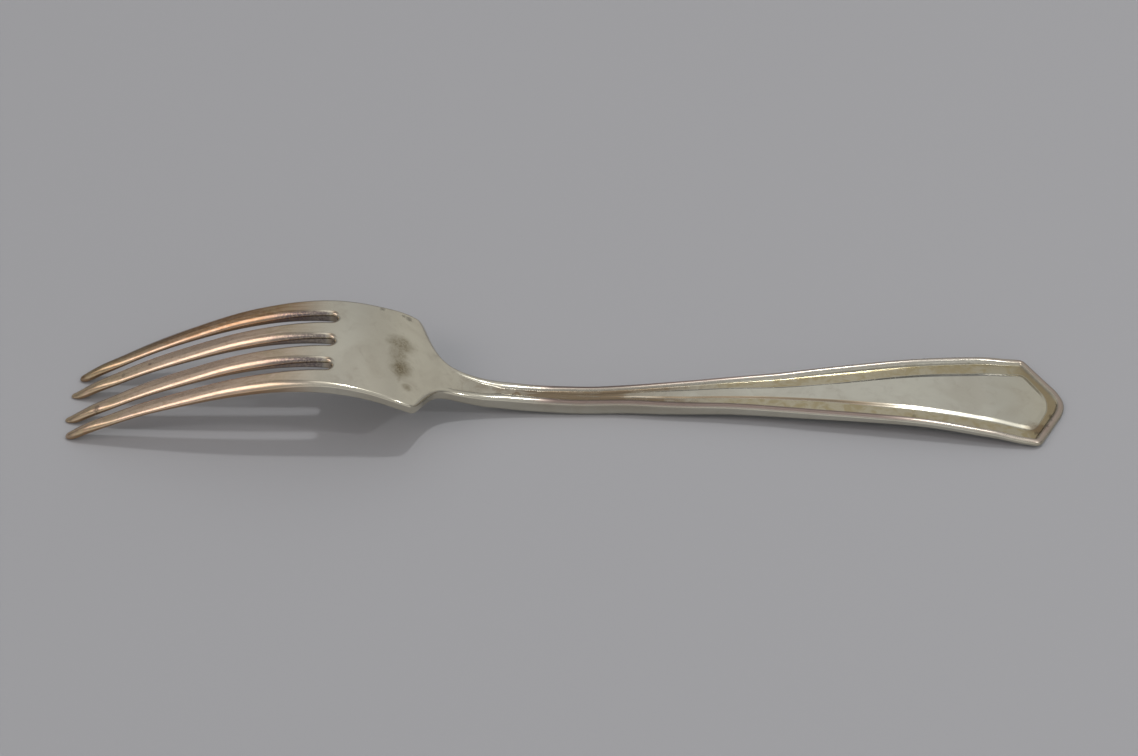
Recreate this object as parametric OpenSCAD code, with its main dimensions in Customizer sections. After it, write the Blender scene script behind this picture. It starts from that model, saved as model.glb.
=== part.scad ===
// Dinner fork with four tines, lying face down as on a table: the back is up.
// +X runs from the tines to the end of the handle, +Y across, +Z up.
// The origin is on the middle plane, halfway along, at the height of the table.

/* [Lengths along the fork] */
// Tines, from the tips of the inner pair to the ends of the slots
tine_l = 52.45; // [46:0.05:60]
// How far the outer tips stay behind the inner ones
tip_step = 0.9; // [0:0.1:3]
// Palm, from the ends of the slots to the shoulders
palm_l = 14.2; // [10:0.1:18]
// Neck, from the shoulders to the narrow shank
neck_l = 18.35; // [15:0.05:25]
// Stem, the narrow shank
stem_l = 34; // [28:0.1:44]
// Handle, from the stem to the end piece
handle_l = 54; // [44:0.1:66]
// End piece of the handle, with its clipped corners
end_l = 17; // [14:0.1:22]
// Length of the clipped corners, within the end piece
clip_l = 6.2; // [4:0.1:8]
// How far the end edge bulges past the clipped corners
end_bulge = 1; // [0.3:0.1:1.6]

/* [Widths across the fork] */
// Palm at the shoulders, the widest place
palm_w = 25; // [23:0.1:28]
// Palm at the roots of the tines
root_w = 24.4; // [22:0.1:26]
// Outer tips, from centre to centre
outer_tips_w = 16.1; // [14:0.1:19]
// Inner tips, from centre to centre
inner_tips_w = 6.8; // [5.5:0.1:8.5]
// Slots between the tines, at the palm
slot_w = 2.1; // [1.6:0.05:2.6]
// Narrowest place of the stem
stem_w = 5.16; // [4.6:0.02:6]
// Handle where the stem ends
grip_w = 7.7; // [6.8:0.1:9]
// Handle at its corners
handle_w = 23.84; // [20:0.02:26]
// End edge, between the clipped corners
end_w = 7; // [5:0.1:10]
// Raised panel of the handle at its corners
panel_w = 13.9; // [12:0.1:14.4]
// End edge of the raised panel
panel_end_w = 4.4; // [3.6:0.1:6]

/* [Heights over the table] */
// Top of the arched back
arch_h = 17.65; // [13:0.1:20]
// Back at the shoulders
shoulder_h = 12.55; // [9:0.05:14]
// Back where the neck meets the stem
neck_h = 4.65; // [4:0.05:5.5]
// Back of the stem where it is lowest
stem_h = 3.5; // [3.4:0.05:4.4]
// Back of the handle where it is highest
handle_h = 4.6; // [4.2:0.05:6]
// Back of the handle at its very end
end_h = 1.1; // [1:0.05:1.6]

/* [Thicknesses] */
// Tips of the tines
tip_t = 0.6; // [0.4:0.05:0.9]
// Tines and palm
tine_t = 2.55; // [2:0.05:2.9]
// Shoulders
shoulder_t = 2.25; // [1.9:0.05:2.7]
// Neck where it meets the stem
neck_t = 3.4; // [2.6:0.05:3.6]
// Stem, where the fork is thickest
stem_t = 3.2; // [2.8:0.05:3.25]
// Handle at its grip
handle_t = 1.9; // [1.8:0.05:2.4]
// Flat under the very end of the handle, on which the fork rests
rest_l = 3; // [2:0.1:4]

/* [Edges and relief] */
// How much the back of the palm is crowned from side to side
crown_h = 0.3; // [0:0.05:0.6]
// Rounding of the back edges of the tines, measured across
tine_round = 1.45; // [1.1:0.05:1.6]
// Rounding of the front edges of the tines, measured across
tine_front_round = 1.05; // [0.7:0.05:1.2]
// Rounding of the back edges of the palm and stem, measured across
back_round = 0.9; // [0.6:0.05:1]
// Rounding of the front edges of the palm, measured across
front_round = 0.7; // [0.4:0.05:0.9]
// Rounding of the front edges of the stem, measured across
stem_round = 1.3; // [0.8:0.05:1.5]
// Rounding of the front edges of the handle, measured across
handle_round = 1.3; // [0.8:0.05:1.5]
// How far down the outer flanks of the stem's beads are rounded
stem_flank = 1; // [0.6:0.05:1.2]
// How far down the outer flank of the handle's rim is rounded
rim_flank = 0.8; // [0.5:0.05:0.9]
// Width of the bead along each edge of the stem
bead_w = 1.35; // [1:0.05:1.5]
// Width of the rim round the handle
rim_w = 1.5; // [1.2:0.05:1.9]
// Depth of the groove between the beads of the stem
stem_groove = 0.45; // [0.3:0.05:0.6]
// Depth of the channel inside the rim of the handle
handle_channel = 0.95; // [0.6:0.05:1]
// Depth of the channel inside the rim at the very end
end_channel = 0.5; // [0.3:0.05:0.6]
// Height of the raised panel over the channel
panel_step = 0.33; // [0.15:0.01:0.4]
// Width of the bevel round the raised panel
bevel_w = 0.9; // [0.6:0.05:1.1]
// Distance from the end of the panel to the end of the handle
panel_margin = 4.2; // [3.2:0.1:4.4]
// Depth of the channel on the front of the handle
front_channel = 0.2; // [0.1:0.05:0.3]
// How far the front of the stem and handle swells towards the middle
front_swell = 0.06; // [0.02:0.02:0.12]

/* [Fineness] */
// Steps in each rounded edge
edge_steps = 4; // [3:1:6]
// Steps along each tine
tine_steps = 26; // [18:1:34]
// Steps along the palm
palm_steps = 6; // [4:1:10]
// Steps along the stem
stem_steps = 16; // [10:1:24]
// Steps along the handle
handle_steps = 22; // [14:1:30]
// Steps along each side of the end piece
side_steps = 5; // [3:1:8]
// Steps along each clipped corner
clip_steps = 3; // [2:1:5]
// Steps along each half of the end edge
end_steps = 3; // [2:1:5]

/* [Hidden] */
// How far cutting tools run past what they cut
overrun = 1;
// Depth by which the flat rest is cut into the front of the handle
rest_cut = 0.12;
blade_tone = [0.68, 0.64, 0.57];
shank_tone = [0.62, 0.6, 0.52];
grip_tone = [0.63, 0.61, 0.54];

fork_l = tine_l + palm_l + neck_l + stem_l + handle_l + end_l;
x_tip = -fork_l / 2;
x_slot = x_tip + tine_l;
x_root = x_slot - slot_w / 2;
x_shoulder = x_slot + palm_l;
x_neck = x_shoulder + neck_l;
x_stem = x_neck + stem_l;
x_handle = x_stem + handle_l;
x_end = x_handle + end_l;
x_corner = x_end - clip_l;
x_end_corner = x_end - end_bulge;
x_panel_end = x_end - panel_margin;
tine_w = (root_w - 3 * slot_w) / 4;

function mix(a, b, share) = a + (b - a) * share;

// Each table of shares below holds [share of the stretch, share of the size named beside it].
// Height of the back along the middle
tine_back_shares = [[0.018, 0.057], [0.038, 0.093], [0.066, 0.145], [0.095, 0.197], [0.191, 0.333],
                    [0.286, 0.467], [0.476, 0.697], [0.667, 0.89], [0.858, 0.993], [1, 0.987]];
palm_back_shares = [[0.531, 0.599]];
neck_back_shares = [[0.084, 0.867], [0.182, 0.698], [0.348, 0.415], [0.669, 0.117]];
stem_back_shares = [[0.18, 1.12], [0.41, 1], [0.65, 1.06], [0.88, 1.085], [1, 1.12]];
handle_back_shares = [[0.11, 0.915], [0.333, 0.946], [0.574, 1], [0.815, 0.978], [1, 0.772]];
end_back_shares = [[0.12, 0.629], [0.47, 0.286], [0.59, 0.194]];
back_points = concat(
    [[x_tip, tip_t]],
    [for (s = tine_back_shares) [x_tip + s[0] * tine_l, s[1] * arch_h]],
    [for (s = palm_back_shares) [x_slot + s[0] * palm_l, mix(shoulder_h, arch_h, s[1])]],
    [[x_shoulder, shoulder_h]],
    [for (s = neck_back_shares) [x_shoulder + s[0] * neck_l, mix(neck_h, shoulder_h, s[1])]],
    [[x_neck, neck_h]],
    [for (s = stem_back_shares) [x_neck + s[0] * stem_l, s[1] * stem_h]],
    [for (s = handle_back_shares) [x_stem + s[0] * handle_l, s[1] * handle_h]],
    [for (s = end_back_shares) [x_handle + s[0] * end_l, mix(end_h, handle_h, s[1])]],
    [[x_end, end_h]]);

// Thickness under the back
tine_thick_shares = [[0.018, 0.39], [0.038, 0.61], [0.066, 0.73], [0.095, 0.74], [0.191, 0.63],
                     [0.286, 0.59], [0.476, 0.705], [0.667, 0.9], [0.858, 1], [1, 1]];
neck_thick_shares = [[0.348, 0.1], [0.669, 0.58]];
stem_thick_shares = [[0.18, 1.07], [0.41, 1.06], [0.65, 1.06], [0.88, 0.98], [1, 0.93]];
end_thick_share = [0.47, 0.75];
handle_thick_shares = [[0.11, 1.5], [0.333, 1.33], [0.574, 1.13], [0.815, 0.97], [1, 0.91]];
thick_points = concat(
    [[x_tip, tip_t]],
    [for (s = tine_thick_shares) [x_tip + s[0] * tine_l, s[1] * tine_t]],
    [[x_shoulder, shoulder_t]],
    [for (s = neck_thick_shares) [x_shoulder + s[0] * neck_l, mix(shoulder_t, neck_t, s[1])]],
    [[x_neck, neck_t]],
    [for (s = stem_thick_shares) [x_neck + s[0] * stem_l, s[1] * stem_t]],
    [for (s = handle_thick_shares) [x_stem + s[0] * handle_l, s[1] * handle_t]],
    [[mix(x_handle, x_end, end_thick_share[0]), end_thick_share[1] * handle_t],
     [x_end - rest_l, curve(back_points, x_end - rest_l)], [x_end, end_h + rest_cut]]);

// Half the width of the palm, neck, stem and handle
neck_width_shares = [[0, 1], [0.025, 0.992], [0.049, 0.96], [0.074, 0.9], [0.101, 0.8],
                     [0.128, 0.69], [0.155, 0.58], [0.183, 0.48], [0.223, 0.358], [0.264, 0.268],
                     [0.319, 0.19], [0.373, 0.14], [0.455, 0.1], [0.564, 0.066], [0.728, 0.035],
                     [0.891, 0.012]];
stem_width_shares = [[0, 0.07], [0.18, 0], [0.35, 0.055], [0.53, 0.08], [0.68, 0.25], [0.82, 0.6]];
handle_width_shares = [[0, 0], [0.111, 0.055], [0.222, 0.131], [0.333, 0.223], [0.444, 0.331],
                       [0.574, 0.445], [0.704, 0.563], [0.852, 0.7], [1, 0.852]];
end_width_share = 0.949;
width_points = concat(
    [[x_root, root_w / 2], [mix(x_root, x_shoulder, 0.5), mix(root_w, palm_w, 0.75) / 2]],
    [for (s = neck_width_shares) [x_shoulder + s[0] * neck_l, mix(stem_w, palm_w, s[1]) / 2]],
    [for (s = stem_width_shares) [x_neck + s[0] * stem_l, mix(stem_w, grip_w, s[1]) / 2]],
    [for (s = handle_width_shares) [x_stem + s[0] * handle_l, mix(grip_w, handle_w, s[1]) / 2]],
    [[mix(x_handle, x_corner, 0.55), mix(grip_w, handle_w, end_width_share) / 2],
     [x_corner, handle_w / 2]]);

// Width of the bead of the neck and stem and of the rim of the handle
neck_bead_shares = [[0, 0.9], [0.42, 0.9], [0.63, 1.15], [0.9, 1.38]];
stem_bead_shares = [[0.06, 1.33], [0.3, 1.03], [0.9, 1]];
bead_points = concat(
    [for (s = neck_bead_shares) [x_shoulder + s[0] * neck_l, s[1] * bead_w]],
    [for (s = stem_bead_shares) [x_neck + s[0] * stem_l, s[1] * bead_w]],
    [[mix(x_stem, x_handle, 0.35), rim_w], [x_handle, rim_w], [x_end, rim_w]]);

// Depth of the groove and channel under the crest of the bead and rim
channel_points = [
    [x_shoulder, 0], [mix(x_shoulder, x_neck, 0.32), 0], [mix(x_shoulder, x_neck, 0.7), stem_groove],
    [mix(x_neck, x_stem, 0.9), stem_groove], [mix(x_stem, x_handle, 0.55), handle_channel],
    [x_handle, handle_channel], [x_end, end_channel]];
front_channel_points = [[x_stem, 0], [mix(x_stem, x_handle, 0.4), front_channel], [x_end, front_channel]];

// Half the width of the raised panel: it starts in the stem as a narrow ridge. On the palm and
// neck the same line only divides the surface.
ridge_shares = [[0, 0.03], [0.53, 0.038], [0.7, 0.06], [0.88, 0.1]];
handle_panel_shares = [[0.11, 0.144], [0.3, 0.18], [0.48, 0.295], [0.61, 0.41], [0.85, 0.636], [1, 0.79]];
palm_panel_share = 0.45;
neck_panel_shares = [[0, 0.45], [0.15, 0.27], [0.3, 0.1], [0.5, 0.03], [0.75, 0.017]];
x_panel_corner = mix(x_panel_end, x_corner, 1.5);
panel_points = concat(
    [[x_root, palm_panel_share * root_w / 2]],
    [for (s = neck_panel_shares) [x_shoulder + s[0] * neck_l, s[1] * palm_w / 2]],
    [for (s = ridge_shares) [x_neck + s[0] * stem_l, s[1] * panel_w / 2]],
    [for (s = handle_panel_shares) [x_stem + s[0] * handle_l, s[1] * panel_w / 2]],
    [[x_panel_corner, panel_w / 2]]);
// How high the panel stands, and how wide its bevel is
step_points = [[mix(x_shoulder, x_neck, 0.5), 0], [mix(x_neck, x_stem, 0.42), 0.12 * panel_step],
               [mix(x_neck, x_stem, 0.7), 0.4 * panel_step], [mix(x_stem, x_handle, 0.3), 0.75 * panel_step],
               [mix(x_stem, x_handle, 0.68), panel_step], [x_end, panel_step]];
bevel_points = [[x_neck, 0.35 * bevel_w], [mix(x_stem, x_handle, 0.5), 0.42 * bevel_w],
                [mix(x_stem, x_handle, 0.68), 0.8 * bevel_w], [mix(x_stem, x_handle, 0.85), bevel_w],
                [x_end, bevel_w]];

// Rounding of the back and front edges across the fork, and how far down the back edges reach
x_slim = mix(x_tip, x_shoulder, 0.6);
back_round_points = [[x_tip, tine_round], [x_slim, tine_round], [x_slot, back_round],
                     [x_shoulder, 0.75 * back_round], [x_neck, back_round]];
back_depth_points = [[x_tip, tine_round], [x_slim, tine_round], [x_slot, back_round],
                     [x_shoulder, 0.75 * back_round], [x_neck, stem_flank], [x_stem, stem_flank],
                     [mix(x_stem, x_handle, 0.4), rim_flank], [x_end, rim_flank]];
front_round_points = [[x_tip, tine_front_round], [x_slim, tine_front_round], [x_slot, front_round],
                      [x_shoulder, front_round], [x_neck, stem_round], [x_stem, stem_round],
                      [mix(x_stem, x_handle, 0.5), handle_round], [x_end, handle_round]];
// Largest share of the thickness that the rounding takes from the back and from the front
back_depth_share = 0.54;
front_depth_share = 0.44;

// A smooth line through points, with tangents taken from the neighbours
function line_slope(p, i) = (p[i + 1][1] - p[i][1]) / (p[i + 1][0] - p[i][0]);
function tangent(p, i) =
    i == 0 ? line_slope(p, 0)
    : i == len(p) - 1 ? line_slope(p, i - 1)
    : let (before = p[i][0] - p[i - 1][0], after = p[i + 1][0] - p[i][0])
      (line_slope(p, i - 1) * after + line_slope(p, i) * before) / (before + after);
function stretch_at(p, x, i = 0) =
    i >= len(p) - 2 || x <= p[i + 1][0] ? i : stretch_at(p, x, i + 1);
function curve(p, x) =
    x <= p[0][0] ? p[0][1]
    : x >= p[len(p) - 1][0] ? p[len(p) - 1][1]
    : let (i = stretch_at(p, x), h = p[i + 1][0] - p[i][0], t = (x - p[i][0]) / h, u = 1 - t)
      u * u * (1 + 2 * t) * p[i][1] + t * u * u * h * tangent(p, i)
      + t * t * (3 - 2 * t) * p[i + 1][1] - t * t * u * h * tangent(p, i + 1);
// Straight lines through points, for what must not overshoot
function ramp(p, x) =
    x <= p[0][0] ? p[0][1]
    : x >= p[len(p) - 1][0] ? p[len(p) - 1][1]
    : let (i = stretch_at(p, x)) p[i][1] + (x - p[i][0]) * line_slope(p, i);

function back(x) = curve(back_points, x);
function thick(x) = curve(thick_points, x);
function half_width(x) = curve(width_points, x);
function bead(x) = ramp(bead_points, x);
function channel(x) = ramp(channel_points, x);
function panel_half(x) = x < x_neck ? ramp(panel_points, x) : curve(panel_points, x);
// How far the crowned back has dropped at a distance y from the middle
function drop(x, y) =
    let (fade = x < x_slot ? (x - x_tip) / tine_l : x < x_shoulder ? 1 : max(0, (x_neck - x) / neck_l))
    fade * crown_h * pow(2 * y / palm_w, 2);

// A section across the fork at x is a list of [y, z] points on its right half, from the panel
// on the back, over the bead and round the edge, to the panel on the front.
// The foot of the bead lies a little higher than the bottom of the channel, and the middle of its
// flank lies at this share of its width.
foot_share = 0.94;
flank_share = 0.8;
// Share of the bead that its rounded outer edge takes
edge_share = 0.55;
function arc_angles(from, to) = [for (i = [0:edge_steps]) mix(from, to, i / edge_steps)];
function back_edge(x) =
    let (r = ramp(back_round_points, x)) x <= x_shoulder ? r : min(r, edge_share * bead(x));
function back_depth(x) = min(ramp(back_depth_points, x), back_depth_share * thick(x));
function front_edge(x) = ramp(front_round_points, x);
function front_depth(x) = min(front_edge(x), front_depth_share * thick(x));
function relief(x) = [
    [panel_half(x), channel(x) - ramp(step_points, x)],
    [panel_half(x) + bevel(x), channel(x)],
    [half_width(x) - bead(x), foot_share * channel(x)],
    [half_width(x) - flank_share * bead(x), channel(x) / 2]];
// How far the front is cut in, less the given share of its swell
rim_swell_share = 0.4;
// Largest share of the room between panel and bead that the bevel takes
bevel_room = 0.6;
function front_relief(x, share) = ramp(front_channel_points, x) - share * front_swell;
function bevel(x) = min(ramp(bevel_points, x), bevel_room * (half_width(x) - bead(x) - panel_half(x)));
function half_section(x) =
    let (w = half_width(x), top = back(x), base = back(x) - thick(x),
         r = back_edge(x), rz = back_depth(x), q = front_edge(x), qz = front_depth(x))
    concat(
        [for (p = relief(x)) [p[0], top - p[1] - drop(x, p[0])]],
        [for (a = arc_angles(90, 0)) [w - r + r * cos(a), top - rz + rz * sin(a) - drop(x, w)]],
        [for (a = arc_angles(0, -90)) [w - q + q * cos(a), base + qz + qz * sin(a) - drop(x, w)]],
        [[w - bead(x), base + front_relief(x, rim_swell_share) - drop(x, w - bead(x))],
         [panel_half(x), base + front_relief(x, 1) - drop(x, panel_half(x))]]);
function mirrored(points) = [for (i = [len(points) - 1:-1:0]) [-points[i][0], points[i][1]]];
function section(x) =
    let (half = half_section(x)) [for (p = concat(half, mirrored(half))) [x, p[0], p[1]]];

// A solid through a row of sections with equally many points each
module loft(rings) {
    n = len(rings[0]);
    last = len(rings) - 1;
    polyhedron(
        points = [for (ring = rings) for (p = ring) p],
        faces = concat(
            [[for (i = [n - 1:-1:0]) i]],
            [[for (i = [0:n - 1]) last * n + i]],
            [for (k = [0:last - 1]) for (i = [0:n - 1])
                [k * n + i, (k + 1) * n + (i + 1) % n, (k + 1) * n + i]],
            [for (k = [0:last - 1]) for (i = [0:n - 1])
                [k * n + i, k * n + (i + 1) % n, (k + 1) * n + (i + 1) % n]]));
}

// Tines: half the width, and the way from the tip's place to the root's, as shares
inner_width_shares = [[0, 0.1], [0.005, 0.22], [0.018, 0.36], [0.04, 0.48], [0.08, 0.58], [0.155, 0.7],
                      [0.29, 0.825], [0.445, 0.896], [0.68, 0.958], [1, 1]];
outer_width_shares = [[0, 0.1], [0.005, 0.22], [0.018, 0.36], [0.04, 0.47], [0.08, 0.55], [0.155, 0.63],
                      [0.277, 0.72], [0.435, 0.8], [0.67, 0.93], [1, 1]];
spread_shares = [[0, 0], [0.12, 0.12], [0.277, 0.344], [0.435, 0.603], [0.67, 0.873], [0.926, 0.99], [1, 1]];

// Largest share of its half width by which a tine is rounded
round_room = 0.85;
// The rounded section of a tine, seen along the fork, with its own middle at y
function tine_section(x, y, w, t) =
    let (top = back(x), r = min(back_edge(x), round_room * w), rz = min(back_depth(x), 2 * round_room * w),
         q = min(front_edge(x), round_room * w), qz = min(front_depth(x), 2 * round_room * w),
         half = concat(
             [for (a = arc_angles(90, 0)) [w - r + r * cos(a), rz * sin(a) - rz]],
             [for (a = arc_angles(0, -90)) [w - q + q * cos(a), qz + qz * sin(a) - t]]))
    [for (p = concat(half, mirrored(half))) [x, y + p[0], top + p[1] - drop(x, y + p[0])]];

// Rows lie closer together towards the tip
row_power = 1.6;
function tine_share(i) = pow(i / tine_steps, row_power);
module tine(tip_x, tip_y, root_y, width_shares) {
    loft([for (i = [0:tine_steps])
        let (s = tine_share(i), x = mix(tip_x, x_root, s))
        tine_section(x, mix(tip_y, root_y, curve(spread_shares, s)),
                     curve(width_shares, s) * tine_w / 2, thick(x))]);
}
module inner_tine(side) {
    tine(x_tip, side * inner_tips_w / 2, side * (slot_w + tine_w) / 2, inner_width_shares);
}
module outer_tine(side) {
    tine(x_tip + tip_step, side * outer_tips_w / 2, side * 1.5 * (slot_w + tine_w), outer_width_shares);
}
module tine_outer_left() { color(blade_tone) outer_tine(-1); }
module tine_inner_left() { color(blade_tone) inner_tine(-1); }
module tine_inner_right() { color(blade_tone) inner_tine(1); }
module tine_outer_right() { color(blade_tone) outer_tine(1); }

// The round inner end of a slot, flared where it meets the back and the front
module slot_end(y) {
    flare = back_round / 2;
    top = back(x_root) - drop(x_root, y);
    base = top - thick(x_root);
    translate([x_root, y, base - overrun]) cylinder(d = slot_w, h = thick(x_root) + 2 * overrun, $fn = 48);
    translate([x_root, y, top - flare])
        cylinder(d1 = slot_w, d2 = slot_w + 2 * (flare + overrun), h = flare + overrun, $fn = 48);
    translate([x_root, y, base - overrun])
        cylinder(d1 = slot_w + 2 * (flare + overrun), d2 = slot_w, h = flare + overrun, $fn = 48);
}
module palm() {
    color(blade_tone) difference() {
        loft([for (i = [0:palm_steps]) section(mix(x_root, x_shoulder, i / palm_steps))]);
        for (side = [-1:1]) slot_end(side * (slot_w + tine_w));
    }
}

neck_row_shares = [0, 0.03, 0.05, 0.065, 0.08, 0.1, 0.13, 0.16, 0.2, 0.24, 0.28, 0.33, 0.4, 0.48, 0.57,
                   0.66, 0.75, 0.84, 0.92, 1];
module neck() {
    color(shank_tone) loft([for (s = neck_row_shares) section(x_shoulder + s * neck_l)]);
}

// The rows of the stem run from the handle to the neck, so each one is taken in reverse.
function reversed(points) = [for (i = [len(points) - 1:-1:0]) points[i]];
module stem() {
    color(shank_tone)
        loft([for (i = [0:stem_steps]) reversed(section(mix(x_stem, x_neck, i / stem_steps)))]);
}

module handle() {
    color(grip_tone) loft([for (i = [0:handle_steps]) section(mix(x_stem, x_handle, i / handle_steps))]);
}

// The end piece is built of lines that run round it, from the right side to the left.
// Right half of the line through a side, a clipped corner and the end edge
function round_end(side, corner, end_corner, end_x) = concat(
    [for (i = [0:side_steps - 1]) let (x = mix(x_handle, corner[0], i / side_steps)) [x, side(x)]],
    [for (i = [0:clip_steps - 1]) mix(corner, end_corner, i / clip_steps)],
    [for (i = [0:end_steps]) let (a = 90 * i / end_steps)
        [mix(end_corner[0], end_x, sin(a)), end_corner[1] * (1 - i / end_steps)]]);
function both_sides(half) = concat(half, [for (i = [len(half) - 2:-1:0]) [half[i][0], -half[i][1]]]);
outer_line = both_sides(
    round_end(function(x) half_width(x), [x_corner, handle_w / 2], [x_end_corner, end_w / 2], x_end));
panel_line = both_sides(
    round_end(function(x) panel_half(x), [x_panel_corner, panel_w / 2],
              [mix(x_panel_end, x_panel_corner, 0.12), panel_end_w / 2], x_panel_end));

// A line moved inwards, or outwards where the distance is below zero, with mitred corners
function across(v) = [v[1], -v[0]] / norm(v);
function mitre(line, i) =
    let (before = across(line[i] - line[i - 1]), after = across(line[i + 1] - line[i]))
    (before + after) / (1 + before * after);
function inset(line, distance) =
    let (last = len(line) - 1)
    [for (i = [0:last])
        i == 0 ? line[i] - [0, distance(line[i][0])]
        : i == last ? line[i] + [0, distance(line[i][0])]
        : line[i] + mitre(line, i) * distance(line[i][0])];
function placed(line, height) = [for (p = line) [p[0], p[1], height(p[0])]];
function front(x) = back(x) - thick(x);
module handle_end() {
    round_lines = concat(
        [placed(panel_line, function(x) back(x) - channel(x) + ramp(step_points, x)),
         placed(inset(panel_line, function(x) -bevel(x)), function(x) back(x) - channel(x)),
         placed(inset(outer_line, function(x) bead(x)), function(x) back(x) - foot_share * channel(x)),
         placed(inset(outer_line, function(x) flank_share * bead(x)), function(x) back(x) - channel(x) / 2)],
        [for (a = arc_angles(90, 0))
            placed(inset(outer_line, function(x) back_edge(x) * (1 - cos(a))),
                   function(x) back(x) - back_depth(x) * (1 - sin(a)))],
        [for (a = arc_angles(0, -90))
            placed(inset(outer_line, function(x) front_edge(x) * (1 - cos(a))),
                   function(x) front(x) + front_depth(x) * (1 + sin(a)))],
        [placed(inset(outer_line, function(x) bead(x)),
                function(x) front(x) + front_relief(x, rim_swell_share)),
         placed(panel_line, function(x) front(x) + front_relief(x, 1))]);
    n = len(outer_line);
    middle = (n - 1) / 2;
    last = len(round_lines) - 1;
    color(grip_tone) difference() {
        polyhedron(
            points = [for (line = round_lines) for (p = line) p],
            faces = concat(
                [for (k = [0:last - 1]) for (i = [0:n - 2])
                    [k * n + i, (k + 1) * n + i, (k + 1) * n + i + 1]],
                [for (k = [0:last - 1]) for (i = [0:n - 2])
                    [k * n + i, (k + 1) * n + i + 1, k * n + i + 1]],
                [for (i = [0:middle - 2]) [i, n - 2 - i, n - 1 - i]],
                [for (i = [0:middle - 2]) [i, i + 1, n - 2 - i]],
                [[middle - 1, middle, middle + 1]],
                [for (i = [0:middle - 2]) [for (j = [i, n - 1 - i, n - 2 - i]) last * n + j]],
                [for (i = [0:middle - 2]) [for (j = [i, n - 2 - i, i + 1]) last * n + j]],
                [[for (j = [middle - 1, middle + 1, middle]) last * n + j]],
                [concat([for (k = [0:last]) k * n + n - 1], [for (k = [last:-1:0]) k * n])]));
        translate([x_handle - overrun, -handle_w, -overrun])
            cube([end_l + 2 * overrun, 2 * handle_w, overrun]);
    }
}

tine_outer_left();
tine_inner_left();
tine_inner_right();
tine_outer_right();
palm();
neck();
stem();
handle();
handle_end();
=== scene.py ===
"""Dinner fork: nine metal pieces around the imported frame, with a stage and a camera."""
from functools import reduce
from types import SimpleNamespace

import bpy
import numpy as np
from bpy.props import FloatProperty, FloatVectorProperty, PointerProperty
from mathutils import Matrix, Vector
from mathutils.geometry import delaunay_2d_cdt


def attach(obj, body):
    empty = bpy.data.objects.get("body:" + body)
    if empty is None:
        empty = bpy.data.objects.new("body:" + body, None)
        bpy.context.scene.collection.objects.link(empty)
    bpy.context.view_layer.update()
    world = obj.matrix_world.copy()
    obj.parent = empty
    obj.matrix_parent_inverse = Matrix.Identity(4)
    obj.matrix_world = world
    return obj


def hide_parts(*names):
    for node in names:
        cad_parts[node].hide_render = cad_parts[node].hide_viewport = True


bl_info = {
    "name": "Dinner Fork",
    "version": (1, 0, 0),
    "blender": (4, 5, 0),
    "location": "View3D > Sidebar > Fork",
    "description": "Builds a dinner fork of tarnished silver plate, lying face down",
    "category": "Add Mesh",
}

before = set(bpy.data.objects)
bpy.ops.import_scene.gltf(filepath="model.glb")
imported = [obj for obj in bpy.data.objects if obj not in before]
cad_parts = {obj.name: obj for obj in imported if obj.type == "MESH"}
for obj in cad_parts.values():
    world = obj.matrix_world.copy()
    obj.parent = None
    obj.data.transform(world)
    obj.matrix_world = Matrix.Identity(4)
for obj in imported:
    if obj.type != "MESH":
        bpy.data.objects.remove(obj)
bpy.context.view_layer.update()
# Millimetres in a metre
MM = 1000.0
# The frame's tine nodes, counted from the left
TINES = ["tine_outer_left", "tine_inner_left", "tine_inner_right", "tine_outer_right"]


def length(name, description, millimetres):
    """A size that the user can change, given in millimetres"""
    return FloatProperty(name=name, description=description, default=millimetres / MM, min=0,
                         unit="LENGTH", precision=5)


def colour(name, description, rgb):
    """A colour that the user can change"""
    return FloatVectorProperty(name=name, description=description, default=rgb, size=3, min=0, max=1,
                               subtype="COLOR")


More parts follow.
